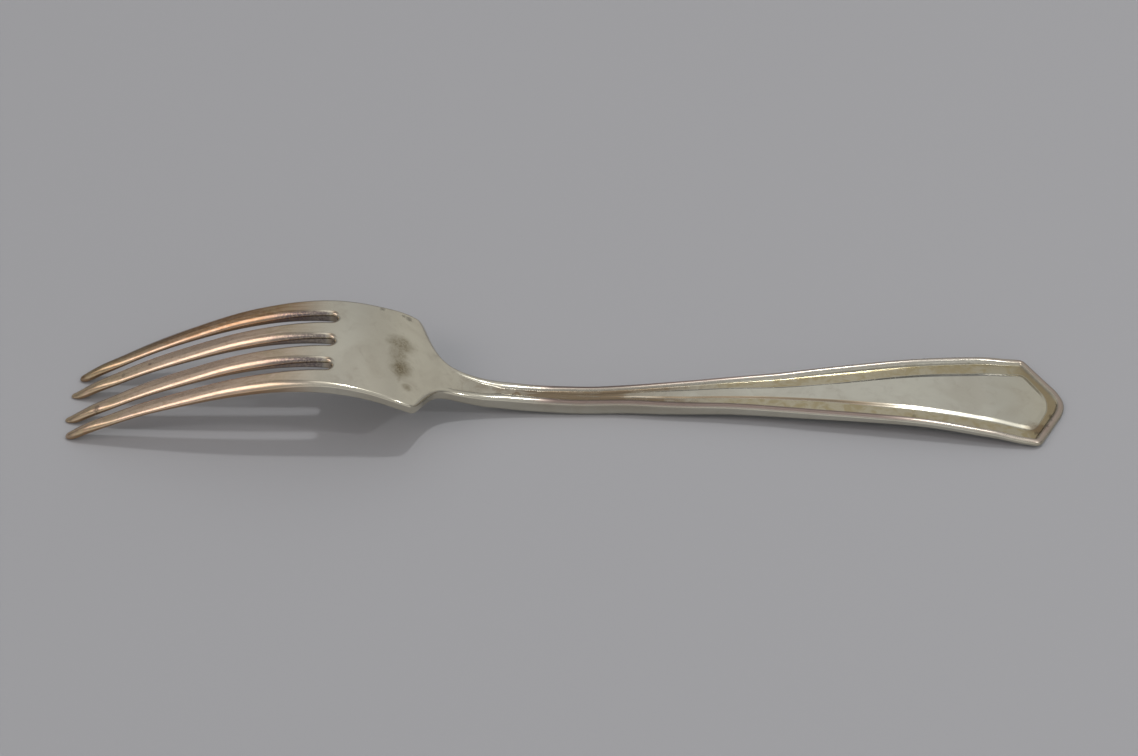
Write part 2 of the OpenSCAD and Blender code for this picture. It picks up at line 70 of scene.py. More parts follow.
class ForkSizes(bpy.types.PropertyGroup):
    """Sizes of the fork, as in its source"""
    tine_l: length("Tines", "From the inner tips to the ends of the slots", 52.45)
    tip_step: length("Tip step", "How far the outer tips stay behind the inner ones", 0.9)
    palm_l: length("Palm", "From the ends of the slots to the shoulders", 14.2)
    neck_l: length("Neck", "From the shoulders to the stem", 18.35)
    stem_l: length("Stem", "Length of the narrow shank", 34)
    handle_l: length("Handle", "From the stem to the end piece", 54)
    end_l: length("End piece", "Length of the end piece", 17)
    clip_l: length("Clipped corners", "Length of the clipped corners", 6.2)
    end_bulge: length("End bulge", "How far the end edge bulges", 1)
    palm_w: length("Palm width", "Across the shoulders", 25)
    root_w: length("Root width", "Across the roots of the tines", 24.4)
    outer_tips_w: length("Outer tips", "From centre to centre", 16.1)
    inner_tips_w: length("Inner tips", "From centre to centre", 6.8)
    slot_w: length("Slots", "Width of the slots at the palm", 2.1)
    stem_w: length("Stem width", "At its narrowest place", 5.16)
    grip_w: length("Grip width", "Where the stem ends", 7.7)
    handle_w: length("Handle width", "At its corners", 23.84)
    end_w: length("End width", "Between the clipped corners", 7)
    panel_w: length("Panel width", "Raised panel at its corners", 13.9)
    panel_end_w: length("Panel end", "End edge of the raised panel", 4.4)
    arch_h: length("Arch", "Height of the arched back", 17.65)
    shoulder_h: length("Shoulder height", "Back at the shoulders", 12.55)
    neck_h: length("Neck height", "Back where the neck meets the stem", 4.65)
    stem_h: length("Stem height", "Back of the stem where it is lowest", 3.5)
    handle_h: length("Handle height", "Back of the handle where it is highest", 4.6)
    end_h: length("End height", "Back at the very end", 1.1)
    tip_t: length("Tip thickness", "Thickness of the tips", 0.6)
    tine_t: length("Tine thickness", "Thickness of tines and palm", 2.55)
    shoulder_t: length("Shoulder thickness", "Thickness at the shoulders", 2.25)
    neck_t: length("Neck thickness", "Thickness where the neck meets the stem", 3.4)
    stem_t: length("Stem thickness", "Thickness of the stem", 3.2)
    handle_t: length("Handle thickness", "Thickness of the handle", 1.9)
    rest_l: length("Rest", "Flat under the very end", 3)
    crown_h: length("Crown", "How much the palm is crowned", 0.3)
    tine_round: length("Tine edges", "Rounding of the back edges of the tines", 1.45)
    tine_front_round: length("Tine front edges", "Rounding of the front edges of the tines", 1.05)
    back_round: length("Back edges", "Rounding of the back edges of palm and stem", 0.9)
    front_round: length("Front edges", "Rounding of the front edges of the palm", 0.7)
    stem_round: length("Stem edges", "Rounding of the front edges of the stem", 1.3)
    handle_round: length("Handle edges", "Rounding of the front edges of the handle", 1.3)
    stem_flank: length("Stem flank", "How far down the beads are rounded", 1)
    rim_flank: length("Rim flank", "How far down the rim is rounded", 0.8)
    bead_w: length("Bead", "Width of the bead of the stem", 1.35)
    rim_w: length("Rim", "Width of the rim of the handle", 1.5)
    stem_groove: length("Groove", "Depth between the beads", 0.45)
    handle_channel: length("Channel", "Depth inside the rim", 0.95)
    end_channel: length("End channel", "Depth inside the rim at the end", 0.5)
    panel_step: length("Panel step", "Height of the panel over the channel", 0.33)
    bevel_w: length("Bevel", "Width of the bevel round the panel", 0.9)
    panel_margin: length("Panel margin", "From the panel to the end", 4.2)
    front_channel: length("Front channel", "Depth of the channel on the front", 0.2)
    front_swell: length("Front swell", "How far the front swells", 0.06)
    corner_round: length("Corners", "Rounding of the clipped corners", 1.6)
    end_round: length("End corners", "Rounding of the corners of the end edge", 0.6)
    grid: length("Grid", "Distance between the inner points of the mesh", 0.75)


class ForkColours(bpy.types.PropertyGroup):
    """Colours of the metal and the stage"""
    silver: colour("Silver", "Worn plate on the handle", (0.67, 0.65, 0.555))
    bowl: colour("Bowl", "Greenish grey silver of the bowl", (0.64, 0.6, 0.49))
    blade: colour("Blade", "Rose brown tarnish of the tines", (0.66, 0.5, 0.38))
    # Deep: dark brown tarnish in streaks and at the slot ends, and painted shade on the far outer tine, at
    # the tips and on the flanks that face the camera
    deep: colour("Deep", "Dark brown tarnish, and painted shade on the far tine, tips and flanks", (0.34, 0.2, 0.1))
    # Wall: a darker olive laid on the side walls
    wall: colour("Wall", "Darker olive on the side walls", (0.42, 0.39, 0.31))
    stain: colour("Stain", "Olive stain on the bowl", (0.2, 0.155, 0.085))
    dull: colour("Dull", "Duller patches", (0.48, 0.43, 0.34))
    rose: colour("Rose", "Rose tarnish along the rims", (0.4, 0.3, 0.265))
    # Slate: painted dark reflection on the far side of the bevel
    slate_shade: colour("Slate", "Blue grey painted shade on the far bevel", (0.2, 0.21, 0.235))
    # Violet: tarnish, and painted dark reflection on the slot walls near the roots
    violet: colour("Violet", "Violet grey tarnish and painted dark reflection in the slots", (0.19, 0.15, 0.155))
    # Dark: dirt in the nicks, and painted shade in creases, on rims and on the far outer tine
    dark: colour("Dark", "Nicks, and painted shade in creases, on rims and on the far tine", (0.045, 0.04, 0.035))
    brown: colour("Brown", "Brown tarnish in the groove of the stem", (0.25, 0.175, 0.1))
    olive: colour("Olive", "Olive tarnish in the channel of the handle", (0.46, 0.385, 0.225))
    floor: colour("Floor", "Plain grey floor", (0.375, 0.38, 0.395))


class StageSettings(bpy.types.PropertyGroup):
    """Light on the fork"""
    top_lamp: FloatProperty(name="Top lamp", description="Power of the lamp overhead", default=2.65,
                            min=0, unit="POWER")
    side_lamp: FloatProperty(name="Side lamp", description="Power of the lamp at the right", default=1.5,
                             min=0, unit="POWER")
    lamp_size: length("Lamp size", "Diameter of the lamps", 66)
    lamp_distance: length("Lamp distance", "From the fork to the lamps", 1200)


# Profiles as in the source: [share of a piece's length, share of the size that the line is given in]
TINE_BACK = [[0.018, 0.057], [0.038, 0.093], [0.066, 0.145], [0.095, 0.197], [0.191, 0.333],
             [0.286, 0.467], [0.476, 0.697], [0.667, 0.89], [0.858, 0.993], [1, 0.987]]
PALM_BACK = [[0.531, 0.599]]
NECK_BACK = [[0.084, 0.867], [0.182, 0.698], [0.348, 0.415], [0.669, 0.117]]
STEM_BACK = [[0.18, 1.12], [0.41, 1], [0.65, 1.06], [0.88, 1.085], [1, 1.12]]
HANDLE_BACK = [[0.11, 0.915], [0.333, 0.946], [0.574, 1], [0.815, 0.978], [1, 0.772]]
END_BACK = [[0.12, 0.629], [0.47, 0.286], [0.59, 0.194]]
TINE_THICK = [[0.018, 0.39], [0.038, 0.61], [0.066, 0.73], [0.095, 0.74], [0.191, 0.63],
              [0.286, 0.59], [0.476, 0.705], [0.667, 0.9], [0.858, 1], [1, 1]]
NECK_THICK = [[0.348, 0.1], [0.669, 0.58]]
STEM_THICK = [[0.18, 1.07], [0.41, 1.06], [0.65, 1.06], [0.88, 0.98], [1, 0.93]]
HANDLE_THICK = [[0.11, 1.5], [0.333, 1.33], [0.574, 1.13], [0.815, 0.97], [1, 0.91]]
END_THICK = [0.47, 0.75]
NECK_WIDTH = [[0, 1], [0.025, 0.992], [0.049, 0.96], [0.074, 0.9], [0.101, 0.8], [0.128, 0.69],
              [0.155, 0.58], [0.183, 0.48], [0.223, 0.358], [0.264, 0.268], [0.319, 0.19], [0.373, 0.14],
              [0.455, 0.1], [0.564, 0.066], [0.728, 0.035], [0.891, 0.012]]
STEM_WIDTH = [[0, 0.07], [0.18, 0], [0.35, 0.055], [0.53, 0.08], [0.68, 0.25], [0.82, 0.6]]
HANDLE_WIDTH = [[0, 0], [0.111, 0.055], [0.222, 0.131], [0.333, 0.223], [0.444, 0.331],
                [0.574, 0.445], [0.704, 0.563], [0.852, 0.7], [1, 0.852]]
END_WIDTH = 0.949
NECK_BEAD = [[0, 0.9], [0.42, 0.9], [0.63, 1.15], [0.9, 1.38]]
STEM_BEAD = [[0.06, 1.33], [0.3, 1.03], [0.9, 1]]
RIDGE = [[0, 0.03], [0.53, 0.038], [0.7, 0.06], [0.88, 0.1]]
HANDLE_PANEL = [[0.11, 0.144], [0.3, 0.18], [0.48, 0.295], [0.61, 0.41], [0.85, 0.636], [1, 0.79]]
INNER_WIDTH = [[0, 0.1], [0.005, 0.22], [0.018, 0.36], [0.04, 0.48], [0.08, 0.58], [0.155, 0.7],
               [0.29, 0.825], [0.445, 0.896], [0.68, 0.958], [1, 1]]
OUTER_WIDTH = [[0, 0.1], [0.005, 0.22], [0.018, 0.36], [0.04, 0.47], [0.08, 0.55], [0.155, 0.63],
               [0.277, 0.72], [0.435, 0.8], [0.67, 0.93], [1, 1]]
SPREAD = [[0, 0], [0.12, 0.12], [0.277, 0.344], [0.435, 0.603], [0.67, 0.873], [0.926, 0.99], [1, 1]]

# Where rings of mesh points run: shares of the bead's width, and of the bevel's width
BEAD_RINGS = (0.2, 0.4, 0.6, 0.8, 1)
BEVEL_RINGS = (1.08, 0.92, 0.5, 0.08, -0.08)
# Distances of mesh points in millimetres: along the outline, along a cut, and the least between two
OUTLINE_STEP, CUT_STEP, SAME_POINT = 0.25, 0.4, 0.03
# Gaps that they keep to a cut, to a cut's middle and to the bead, and the share of a ring's own depth
CUT_GAP, MIDDLE_GAP, BEAD_GAP, OWN_DEPTH = 0.12, 0.02, 0.05, 0.985
# The last ring: its distance past the ramp of the front, or on the tines its share of their radius
LAST_RING, TINE_RING = 0.25, 1.5
# The grid: half its width, a row's height over its step, and its gaps to the last ring and the bevel
HALF_GRID, ROW, RING_GAP, BEVEL_GAP = 13, 0.87, 0.35, 1.3
# A depth in millimetres that no piece has far from its edges, and one longer than the fork
FAR, ALL = 9.0, 200
# Power of the flattened fall at the back edges of the tines
FACET_POWER = 1.4
# The most that a tine's edges are rounded, as a share of its half width, and at its tip in millimetres
TINE_ROUNDING, TIP_ROUNDING = 0.85, 0.45
# Tolerance of the triangles
EXACT = 1e-6


def mix(a, b, share):
    """The value a share of the way from a to b"""
    return a + (b - a) * share


def smooth(t):
    """0 below 0, 1 above 1, with a soft start and end"""
    t = np.clip(t, 0, 1)
    return t * t * (3 - 2 * t)


def soften(line, reach):
    """A line in plan with its corners rounded, by averaging over neighbours"""
    reach = int(reach + 0.5)
    for _ in range(2):
        padded = np.r_[np.repeat(line[:1], reach, 0), line, np.repeat(line[-1:], reach, 0)]
        line = sum(padded[k:k + len(line)] for k in range(2 * reach + 1)) / (2 * reach + 1)
    return line


class Line:
    """A line through points: smooth, with tangents taken from the neighbours, or straight"""

    def __init__(self, points, straight=False):
        self.x, self.y = np.array(points, float).T
        step = np.diff(self.x)
        slope = np.diff(self.y) / step
        self.tangent = np.r_[slope[0], (slope[:-1] * step[1:] + slope[1:] * step[:-1])
                             / (step[:-1] + step[1:]), slope[-1]]
        self.straight = straight

    def __call__(self, x):
        x = np.clip(x, self.x[0], self.x[-1])
        if self.straight:
            return np.interp(x, self.x, self.y)
        i = np.clip(np.searchsorted(self.x, x, side="right") - 1, 0, len(self.x) - 2)
        h = self.x[i + 1] - self.x[i]
        t = (x - self.x[i]) / h
        u = 1 - t
        return (u * u * (1 + 2 * t) * self.y[i] + t * u * u * h * self.tangent[i]
                + t * t * (3 - 2 * t) * self.y[i + 1] - t * t * u * h * self.tangent[i + 1])


class Outline:
    """A closed line in plan with the metal on its left: finds the depth inside it and the way out"""

    def __init__(self, points):
        self.points = points
        way = np.roll(points, -1, 0) - np.roll(points, 1, 0)
        way /= np.linalg.norm(way, axis=1)[:, None]
        self.normals = np.c_[way[:, 1], -way[:, 0]]

    def depth(self, p, margin=FAR, batch=400):
        """Depth inside, below zero outside, and the outward direction, of each point"""
        a, b = self.points, np.roll(self.points, -1, 0)
        near = (np.maximum(a[:, 0], b[:, 0]) > p[:, 0].min() - margin) \
            & (np.minimum(a[:, 0], b[:, 0]) < p[:, 0].max() + margin)
        a, b, na, nb = a[near], b[near], self.normals[near], np.roll(self.normals, -1, 0)[near]
        ab = b - a
        depth, out = np.empty(len(p)), np.empty((len(p), 2))
        for k in range(0, len(p), batch):
            q = p[k:k + batch, None, :]
            t = np.clip(((q - a) * ab).sum(2) / (ab * ab).sum(1), 0, 1)
            away = q - (a + t[..., None] * ab)
            i = (away ** 2).sum(2).argmin(1)
            row = np.arange(len(i))
            away, t = away[row, i], t[row, i, None]
            n = na[i] * (1 - t) + nb[i] * t
            n /= np.linalg.norm(n, axis=1)[:, None]
            depth[k:k + batch] = -np.sign((away * n).sum(1)) * np.linalg.norm(away, axis=1)
            out[k:k + batch] = n
        return depth, out


class Shape:
    """The fork's lines, from the named sizes in millimetres"""
    # Where rings of points run on a rounded edge, as shares of its radius
    RINGS = 1 - np.cos(np.radians([16, 32, 47, 62, 76, 90]))
    # The most that rounding takes of the bead's width and of the thickness, on the back and the front
    EDGE_OF_BEAD, BACK_OF_THICKNESS, FRONT_OF_THICKNESS = 0.55, 0.54, 0.44
    # The most that the bevel takes of the space between the panel and the bead
    BEVEL_OF_SPACE = 0.6
    # How far round a bead's inner flank goes, as the sine of its angle
    FLANK = 0.95
    # Share of the tines' edges that is flattened, and the length over which that comes in
    FACET, FACET_FADE = 0.5, 12
    # Shortest ramp down to the channel of the front, and how far the end would reach below the table
    RAMP, BELOW_TABLE = 0.6, 0.12
    # Share of the neck's length at which the ridge starts
    RIDGE_START = 0.6

    def __init__(self, sizes):
        s = self.s = sizes
        self.x_tip = -(s.tine_l + s.palm_l + s.neck_l + s.stem_l + s.handle_l + s.end_l) / 2
        self.x_slot = self.x_tip + s.tine_l
        self.x_root = self.x_slot - s.slot_w / 2
        self.x_shoulder = self.x_slot + s.palm_l
        self.x_neck = self.x_shoulder + s.neck_l
        self.x_stem = self.x_neck + s.stem_l
        self.x_handle = self.x_stem + s.handle_l
        self.x_end = self.x_handle + s.end_l
        self.x_corner = self.x_end - s.clip_l
        self.tine_w = (s.root_w - 3 * s.slot_w) / 4
        self.lines()
        self.borders()

    def lines(self):
        """The lines along the fork: heights, thicknesses, widths, beads, channels and the panel"""
        s = self.s
        xt, xs, xn, xm, xh, xe = (self.x_tip, self.x_shoulder, self.x_neck, self.x_stem, self.x_handle,
                                  self.x_end)
        tine, palm, neck = (xt, s.tine_l), (self.x_slot, s.palm_l), (xs, s.neck_l)
        stem, handle, end = (xn, s.stem_l), (xm, s.handle_l), (xh, s.end_l)

        def along(profile, stretch, full, none=0):
            return [[stretch[0] + a * stretch[1], mix(none, full, b)] for a, b in profile]
        self.back = Line(
            [[xt, s.tip_t]] + along(TINE_BACK, tine, s.arch_h)
            + along(PALM_BACK, palm, s.arch_h, s.shoulder_h) + [[xs, s.shoulder_h]]
            + along(NECK_BACK, neck, s.shoulder_h, s.neck_h) + [[xn, s.neck_h]]
            + along(STEM_BACK, stem, s.stem_h) + along(HANDLE_BACK, handle, s.handle_h)
            + along(END_BACK, end, s.handle_h, s.end_h) + [[xe, s.end_h]])
        x_rest = xe - s.rest_l
        self.thick = Line(
            [[xt, s.tip_t]] + along(TINE_THICK, tine, s.tine_t) + [[xs, s.shoulder_t]]
            + along(NECK_THICK, neck, s.neck_t, s.shoulder_t) + [[xn, s.neck_t]]
            + along(STEM_THICK, stem, s.stem_t) + along(HANDLE_THICK, handle, s.handle_t)
            + [[mix(xh, xe, END_THICK[0]), END_THICK[1] * s.handle_t], [x_rest, float(self.back(x_rest))],
               [xe, s.end_h + self.BELOW_TABLE]])
        self.half_width = Line(
            [[self.x_root, s.root_w / 2], [mix(self.x_root, xs, 0.5), mix(s.root_w, s.palm_w, 0.75) / 2]]
            + along(NECK_WIDTH, neck, s.palm_w / 2, s.stem_w / 2)
            + along(STEM_WIDTH, stem, s.grip_w / 2, s.stem_w / 2)
            + along(HANDLE_WIDTH, handle, s.handle_w / 2, s.grip_w / 2)
            + [[mix(xh, self.x_corner, 0.55), mix(s.grip_w, s.handle_w, END_WIDTH) / 2],
               [self.x_corner, s.handle_w / 2]])
        self.bead = Line(
            along(NECK_BEAD, neck, s.bead_w) + along(STEM_BEAD, stem, s.bead_w)
            + [[mix(xm, xh, 0.35), s.rim_w], [xh, s.rim_w], [xe, s.rim_w]], straight=True)
        self.channel = Line([
            [xs, 0], [mix(xs, xn, 0.32), 0], [mix(xs, xn, 0.7), s.stem_groove],
            [mix(xn, xm, 0.9), s.stem_groove], [mix(xm, xh, 0.55), s.handle_channel],
            [xh, s.handle_channel], [xe, s.end_channel]], straight=True)
        self.front_channel = Line([[xm, 0], [mix(xm, xh, 0.4), s.front_channel], [xe, s.front_channel]],
                                  straight=True)
        self.step = Line([
            [mix(xs, xn, 0.5), 0], [mix(xn, xm, 0.42), 0.12 * s.panel_step],
            [mix(xn, xm, 0.7), 0.4 * s.panel_step], [mix(xm, xh, 0.3), 0.75 * s.panel_step],
            [mix(xm, xh, 0.68), s.panel_step], [xe, s.panel_step]], straight=True)
        self.bevel_line = Line([
            [xn, 0.35 * s.bevel_w], [mix(xm, xh, 0.5), 0.42 * s.bevel_w],
            [mix(xm, xh, 0.68), 0.8 * s.bevel_w], [mix(xm, xh, 0.85), s.bevel_w],
            [xe, s.bevel_w]], straight=True)
        slim = mix(xt, xs, 0.6)
        blade = [[xt, s.tine_round], [slim, s.tine_round], [self.x_slot, s.back_round],
                 [xs, 0.75 * s.back_round]]
        self.back_round = Line(blade + [[xn, s.back_round]], straight=True)
        self.back_depth = Line(blade + [
            [xn, s.stem_flank], [xm, s.stem_flank], [mix(xm, xh, 0.4), s.rim_flank], [xe, s.rim_flank]],
            straight=True)
        self.front_edge = Line([
            [xt, s.tine_front_round], [slim, s.tine_front_round], [self.x_slot, s.front_round],
            [xs, s.front_round], [xn, s.stem_round], [xm, s.stem_round],
            [mix(xm, xh, 0.5), s.handle_round], [xe, s.handle_round]], straight=True)
        x_panel_end = xe - s.panel_margin
        self.panel_corner = (mix(x_panel_end, self.x_corner, 1.5), s.panel_w / 2)
        self.panel_end = (mix(x_panel_end, self.panel_corner[0], 0.12), s.panel_end_w / 2, x_panel_end)
        self.panel_half = Line(
            [[mix(xs, xn, self.RIDGE_START), 0.1]] + along(RIDGE, stem, s.panel_w / 2)
            + along(HANDLE_PANEL, handle, s.panel_w / 2) + [self.panel_corner])

    def tine(self, number):
        """Plan functions of tine 0 to 3, counted from the left: tip, middle line and half width"""
        s = self.s
        place = number - 1.5
        outer = abs(place) > 1
        tip = self.x_tip + (s.tip_step if outer else 0)
        tips = s.outer_tips_w if outer else s.inner_tips_w
        spread = Line(SPREAD)
        widths = OUTER_WIDTH if outer else INNER_WIDTH
        width = Line(widths)
        blunt_l, blunt_w = widths[1]
        root_y = place * (s.slot_w + self.tine_w)

        def middle(x):
            return mix(np.sign(place) * tips / 2, root_y, spread((x - tip) / (self.x_root - tip)))

        def half(x):
            share = np.clip((x - tip) / (self.x_root - tip), 0, 1)
            blunt = blunt_w * np.sqrt(share / blunt_l)
            return np.where(share < blunt_l, blunt, width(share)) * self.tine_w / 2
        return tip, middle, half

    def tine_chain(self, number):
        """Round a tine, from its right root to its left root"""
        tip, middle, half = self.tine(number)
        x = tip + (self.x_root - tip) * np.linspace(0, 1, 100) ** 2.2
        right = np.c_[x, middle(x) + half(x)][::-1]
        left = np.c_[x, middle(x) - half(x)]
        return np.r_[right[:-1], left]

    def side_chain(self, start, end, count, right):
        """Outline points of one side of a piece: the right side runs back, the left side forward"""
        x = np.linspace(start, end, count)
        side = np.c_[x, self.half_width(x)]
        return side[::-1] if right else side * [1, -1]

    def end_chain(self, side, corner, end_corner, end_x, rounding, end_rounding):
        """Round the end, from the left side to the right, with softened corners"""
        x = np.linspace(self.x_handle, corner[0], 60)
        angle = np.linspace(0, np.pi / 2, 12)
        bulge = np.c_[mix(end_corner[0], end_x, np.sin(angle)), end_corner[1] * (1 - angle / angle[-1])]
        half = np.r_[np.c_[x, side(x)][:-1], [corner], bulge]
        line = np.r_[half * [1, -1], half[::-1][1:]]
        way = np.r_[0, np.cumsum(np.linalg.norm(np.diff(line, axis=0), axis=1))]
        even = np.linspace(0, way[-1], int(way[-1] / OUTLINE_STEP))
        line = np.c_[np.interp(even, way, line[:, 0]), np.interp(even, way, line[:, 1])]
        near_end = smooth((line[:, 0] - mix(corner[0], end_corner[0], 0.4)) / 2)[:, None]
        softer, sharper = (soften(line, r / (even[1] - even[0])) for r in (rounding, end_rounding))
        soft = softer * (1 - near_end) + sharper * near_end
        keep = smooth((line[:, 0] - self.x_handle - 2) / 2)[:, None]
        return line * (1 - keep) + soft * keep

    def borders(self):
        """The outline in order round the fork, and the pieces' stretches of it"""
        s = self.s
        # Start, end and number of outline points of each side
        ends = {"neck": (self.x_shoulder, self.x_neck, 90), "stem": (self.x_neck, self.x_stem, 62),
                "handle": (self.x_stem, self.x_handle, 100), "palm": (self.x_root, self.x_shoulder, 24)}
        parts = [("handle_end", self.end_chain(
            self.half_width, (self.x_corner, s.handle_w / 2), (self.x_end - s.end_bulge, s.end_w / 2),
            self.x_end, s.corner_round / 2, s.end_round / 2))]
        parts += [(n, self.side_chain(*ends[n], right=True)) for n in ("handle", "stem", "neck", "palm")]
        angle = np.linspace(np.pi / 2, -np.pi / 2, 22)
        for k in (3, 2, 1, 0):
            parts.append((TINES[k], self.tine_chain(k)))
            if k:
                y = (k - 2) * (s.slot_w + self.tine_w)
                parts.append(("palm", np.c_[self.x_root + np.cos(angle) * s.slot_w / 2,
                                            y + np.sin(angle) * s.slot_w / 2]))
        parts += [(n, self.side_chain(*ends[n], right=False)) for n in ("palm", "neck", "stem", "handle")]
        self.chains, points = {}, []
        for name, chain in parts:
            first = sum(map(len, points))
            points.append(chain[:-1])
            self.chains.setdefault(name, []).append((first, first + len(chain)))
        self.outline = Outline(np.concatenate(points))
        x = np.linspace(mix(self.x_shoulder, self.x_neck, self.RIDGE_START), self.x_handle, 190)
        side = np.c_[x, self.panel_half(x)]
        end = self.end_chain(self.panel_half, self.panel_corner, self.panel_end[:2], self.panel_end[2],
                             s.corner_round / 4, s.end_round / 2)
        self.panel = Outline(np.r_[side[:-1] * [1, -1], end, side[::-1][1:]])

    def has_bead(self, x):
        """Whether a place is at the shoulders or past them"""
        return x > self.x_shoulder - CUT_GAP

    def has_panel(self, x):
        """Whether a place is past the middle of the neck, where the ridge starts"""
        return x > mix(self.x_shoulder, self.x_neck, 0.5)

    def edge(self, x):
        """How far in from the outline the back edges are rounded"""
        r = self.back_round(x)
        return np.where(x > self.x_shoulder, np.minimum(r, self.EDGE_OF_BEAD * self.bead(x)), r)

    def edge_depth(self, x):
        """How far down the back edges are rounded"""
        return np.minimum(self.back_depth(x), self.BACK_OF_THICKNESS * self.thick(x))

    def front_depth(self, x):
        """How far up the front edges are rounded"""
        return np.minimum(self.front_edge(x), self.FRONT_OF_THICKNESS * self.thick(x))

    def facet(self, x):
        """How far the back edges of the tines are flattened to facets"""
        return self.FACET * smooth((self.x_slot - x) / self.FACET_FADE)

    def bevel(self, x):
        """Width of the bevel round the panel, at most a share of the space that it has"""
        return np.minimum(self.bevel_line(x),
                          self.BEVEL_OF_SPACE * (self.half_width(x) - self.bead(x) - self.panel_half(x)))

    def drop(self, x, y):
        """How far the crown lies lower beside the middle; it fades out at the tips and the stem"""
        fade = np.where(x < self.x_slot, (x - self.x_tip) / self.s.tine_l,
                        np.where(x < self.x_shoulder, 1, (self.x_neck - x) / self.s.neck_l))
        return np.maximum(fade, 0) * self.s.crown_h * (2 * y / self.s.palm_w) ** 2

    def top(self, x, y, d, dp):
        """Height of the back without its rounded edges; d and dp are depths in outline and panel"""
        r, bead = self.edge(x), self.bead(x)
        flank = self.FLANK * np.clip((d - r) / np.maximum(bead - r, 0.1), 0, 1)
        sunk = self.channel(x) * (1 - np.sqrt(1 - flank ** 2)) / (1 - np.sqrt(1 - self.FLANK ** 2))
        share = np.clip(1 + dp / np.maximum(self.bevel(x), 0.05), 0, 1)
        raised = self.step(x) * (0.7 * share + 0.3 * smooth(share)) * (d > bead)
        return self.back(x) - self.drop(x, y) - sunk + raised

    def ramp_end(self, x):
        """How far in from the outline the front has reached its channel"""
        return np.maximum(self.bead(x), self.front_edge(x) + self.RAMP)

    def base(self, x, y, d, dp):
        """Height of the front without its rounded edges; takes what top takes"""
        start = self.front_edge(x)
        inside = smooth((d - start) / np.maximum(self.bead(x) - start, self.RAMP))
        swell = self.s.front_swell * smooth(d / self.half_width(x))
        z = self.back(x) - self.thick(x) - self.drop(x, y) + self.front_channel(x) * inside - swell
        return np.maximum(z, 0)


def slopes(height, x, y, d, dp, out, out_panel, h=0.01):
    """Upward normals of a height function, through each of its arguments"""
    def rate(k):
        more, less = [x, y, d, dp], [x, y, d, dp]
        more[k], less[k] = more[k] + h, less[k] - h
        return (height(*more) - height(*less)) / (2 * h)
    across = -rate(2)[:, None] * out - rate(3)[:, None] * out_panel
    n = np.c_[-rate(0) - across[:, 0], -rate(1) - across[:, 1], np.ones(len(x))]
    return n / np.linalg.norm(n, axis=1)[:, None]


def cut_points(shape, a, b):
    """Points across a straight cut between two outline points, the same from either side"""
    width = np.linalg.norm(b - a)
    x = a[0]
    radius, bevel = float(shape.edge(x)), float(shape.bevel(x))
    stops = [radius * k for k in shape.RINGS]
    if shape.has_bead(x):
        stops += [mix(radius, float(shape.bead(x)), k) for k in BEAD_RINGS]
    if shape.has_panel(x):
        stops += [width / 2 - float(shape.panel_half(x)) - k * bevel for k in BEVEL_RINGS]
    stops = sorted(v for v in stops if v < width / 2 - MIDDLE_GAP)
    marks = [0.0] + stops + [width - v for v in reversed(stops)] + [width]
    way = []
    for start, end in zip(marks, marks[1:]):
        count = max(1, int((end - start) / CUT_STEP + 0.5))
        way += [start + (end - start) * k / count for k in range(count)]
    return a + (b - a) * (np.array(way[1:])[:, None] / width)


def piece_loop(shape, name):
    """The piece's closed border in plan, and each point's number in the outline, -1 on a cut"""
    total = len(shape.outline.points)
    chains = shape.chains[name]
    points, index = [], []
    for k, (first, last) in enumerate(chains):
        here = np.arange(first, last) % total
        points.append(shape.outline.points[here])
        index.append(here)
        after = shape.outline.points[chains[(k + 1) % len(chains)][0] % total]
        cut = cut_points(shape, points[-1][-1], after)
        points.append(cut)
        index.append(np.full(len(cut), -1))
    return np.concatenate(points), np.concatenate(index)


def rounding_limit(shape, name):
    """The most that a piece's edges are rounded at x, which matters only on the slim tines"""
    if name in TINES:
        half = shape.tine(TINES.index(name))[2]
        return lambda x: np.maximum(TINE_ROUNDING * half(x), TIP_ROUNDING)
    return lambda x: np.full(np.shape(x), FAR)


def ring_points(shape, name, x_low, x_high, limit):
    """Rows of points along the outline and round the panel"""
    outline, panel = shape.outline, shape.panel
    found = []
    for first, last in shape.chains[name]:
        here = np.arange(first, last) % len(outline.points)
        p, n = outline.points[here], outline.normals[here]
        x = p[:, 0]
        radius = np.minimum(shape.edge(x), limit(x))
        offsets = [radius * k for k in shape.RINGS]
        if shape.has_bead(x_low):
            bead, end = shape.bead(x), shape.ramp_end(x)
            offsets += [mix(radius, bead, k) for k in BEAD_RINGS]
            offsets += [mix(bead, end, k) for k in (0.5, 1)] + [end + LAST_RING]
        else:
            offsets.append(TINE_RING * radius)
        for offset in offsets:
            q = p - n * offset[:, None]
            # Points that another edge is nearer to are left out
            found.append(q[outline.depth(q)[0] > OWN_DEPTH * offset])
    if shape.has_panel(x_high):
        bevel = shape.bevel(panel.points[:, 0])[:, None]
        for k in BEVEL_RINGS:
            q = panel.points + panel.normals * (k * bevel)
            q = q[(q[:, 0] > x_low) & (q[:, 0] < x_high)]
            if len(q):
                found.append(q[outline.depth(q)[0] > shape.bead(q[:, 0]) + BEAD_GAP])
    return found


def grid_points(shape, x_low, x_high, y_low, y_high):
    """An even grid of points in what the rings leave free"""
    step = shape.s.grid
    x, y = np.meshgrid(np.arange(x_low, x_high, step), np.arange(-HALF_GRID, HALF_GRID, step * ROW))
    x = x + (np.arange(len(x)) % 2)[:, None] * step / 2
    q = np.c_[x.ravel(), y.ravel()]
    q = q[(q[:, 1] > y_low) & (q[:, 1] < y_high)]
    if not len(q):
        return q
    x = q[:, 0]
    d = shape.outline.depth(q)[0]
    dp = np.abs(shape.panel.depth(q)[0]) if shape.has_panel(x_high) else np.full(len(q), FAR)
    rings = np.where(x > shape.x_shoulder, shape.ramp_end(x) + LAST_RING, shape.edge(x) * TINE_RING)
    return q[(d > rings + RING_GAP) & (dp > BEVEL_GAP)]


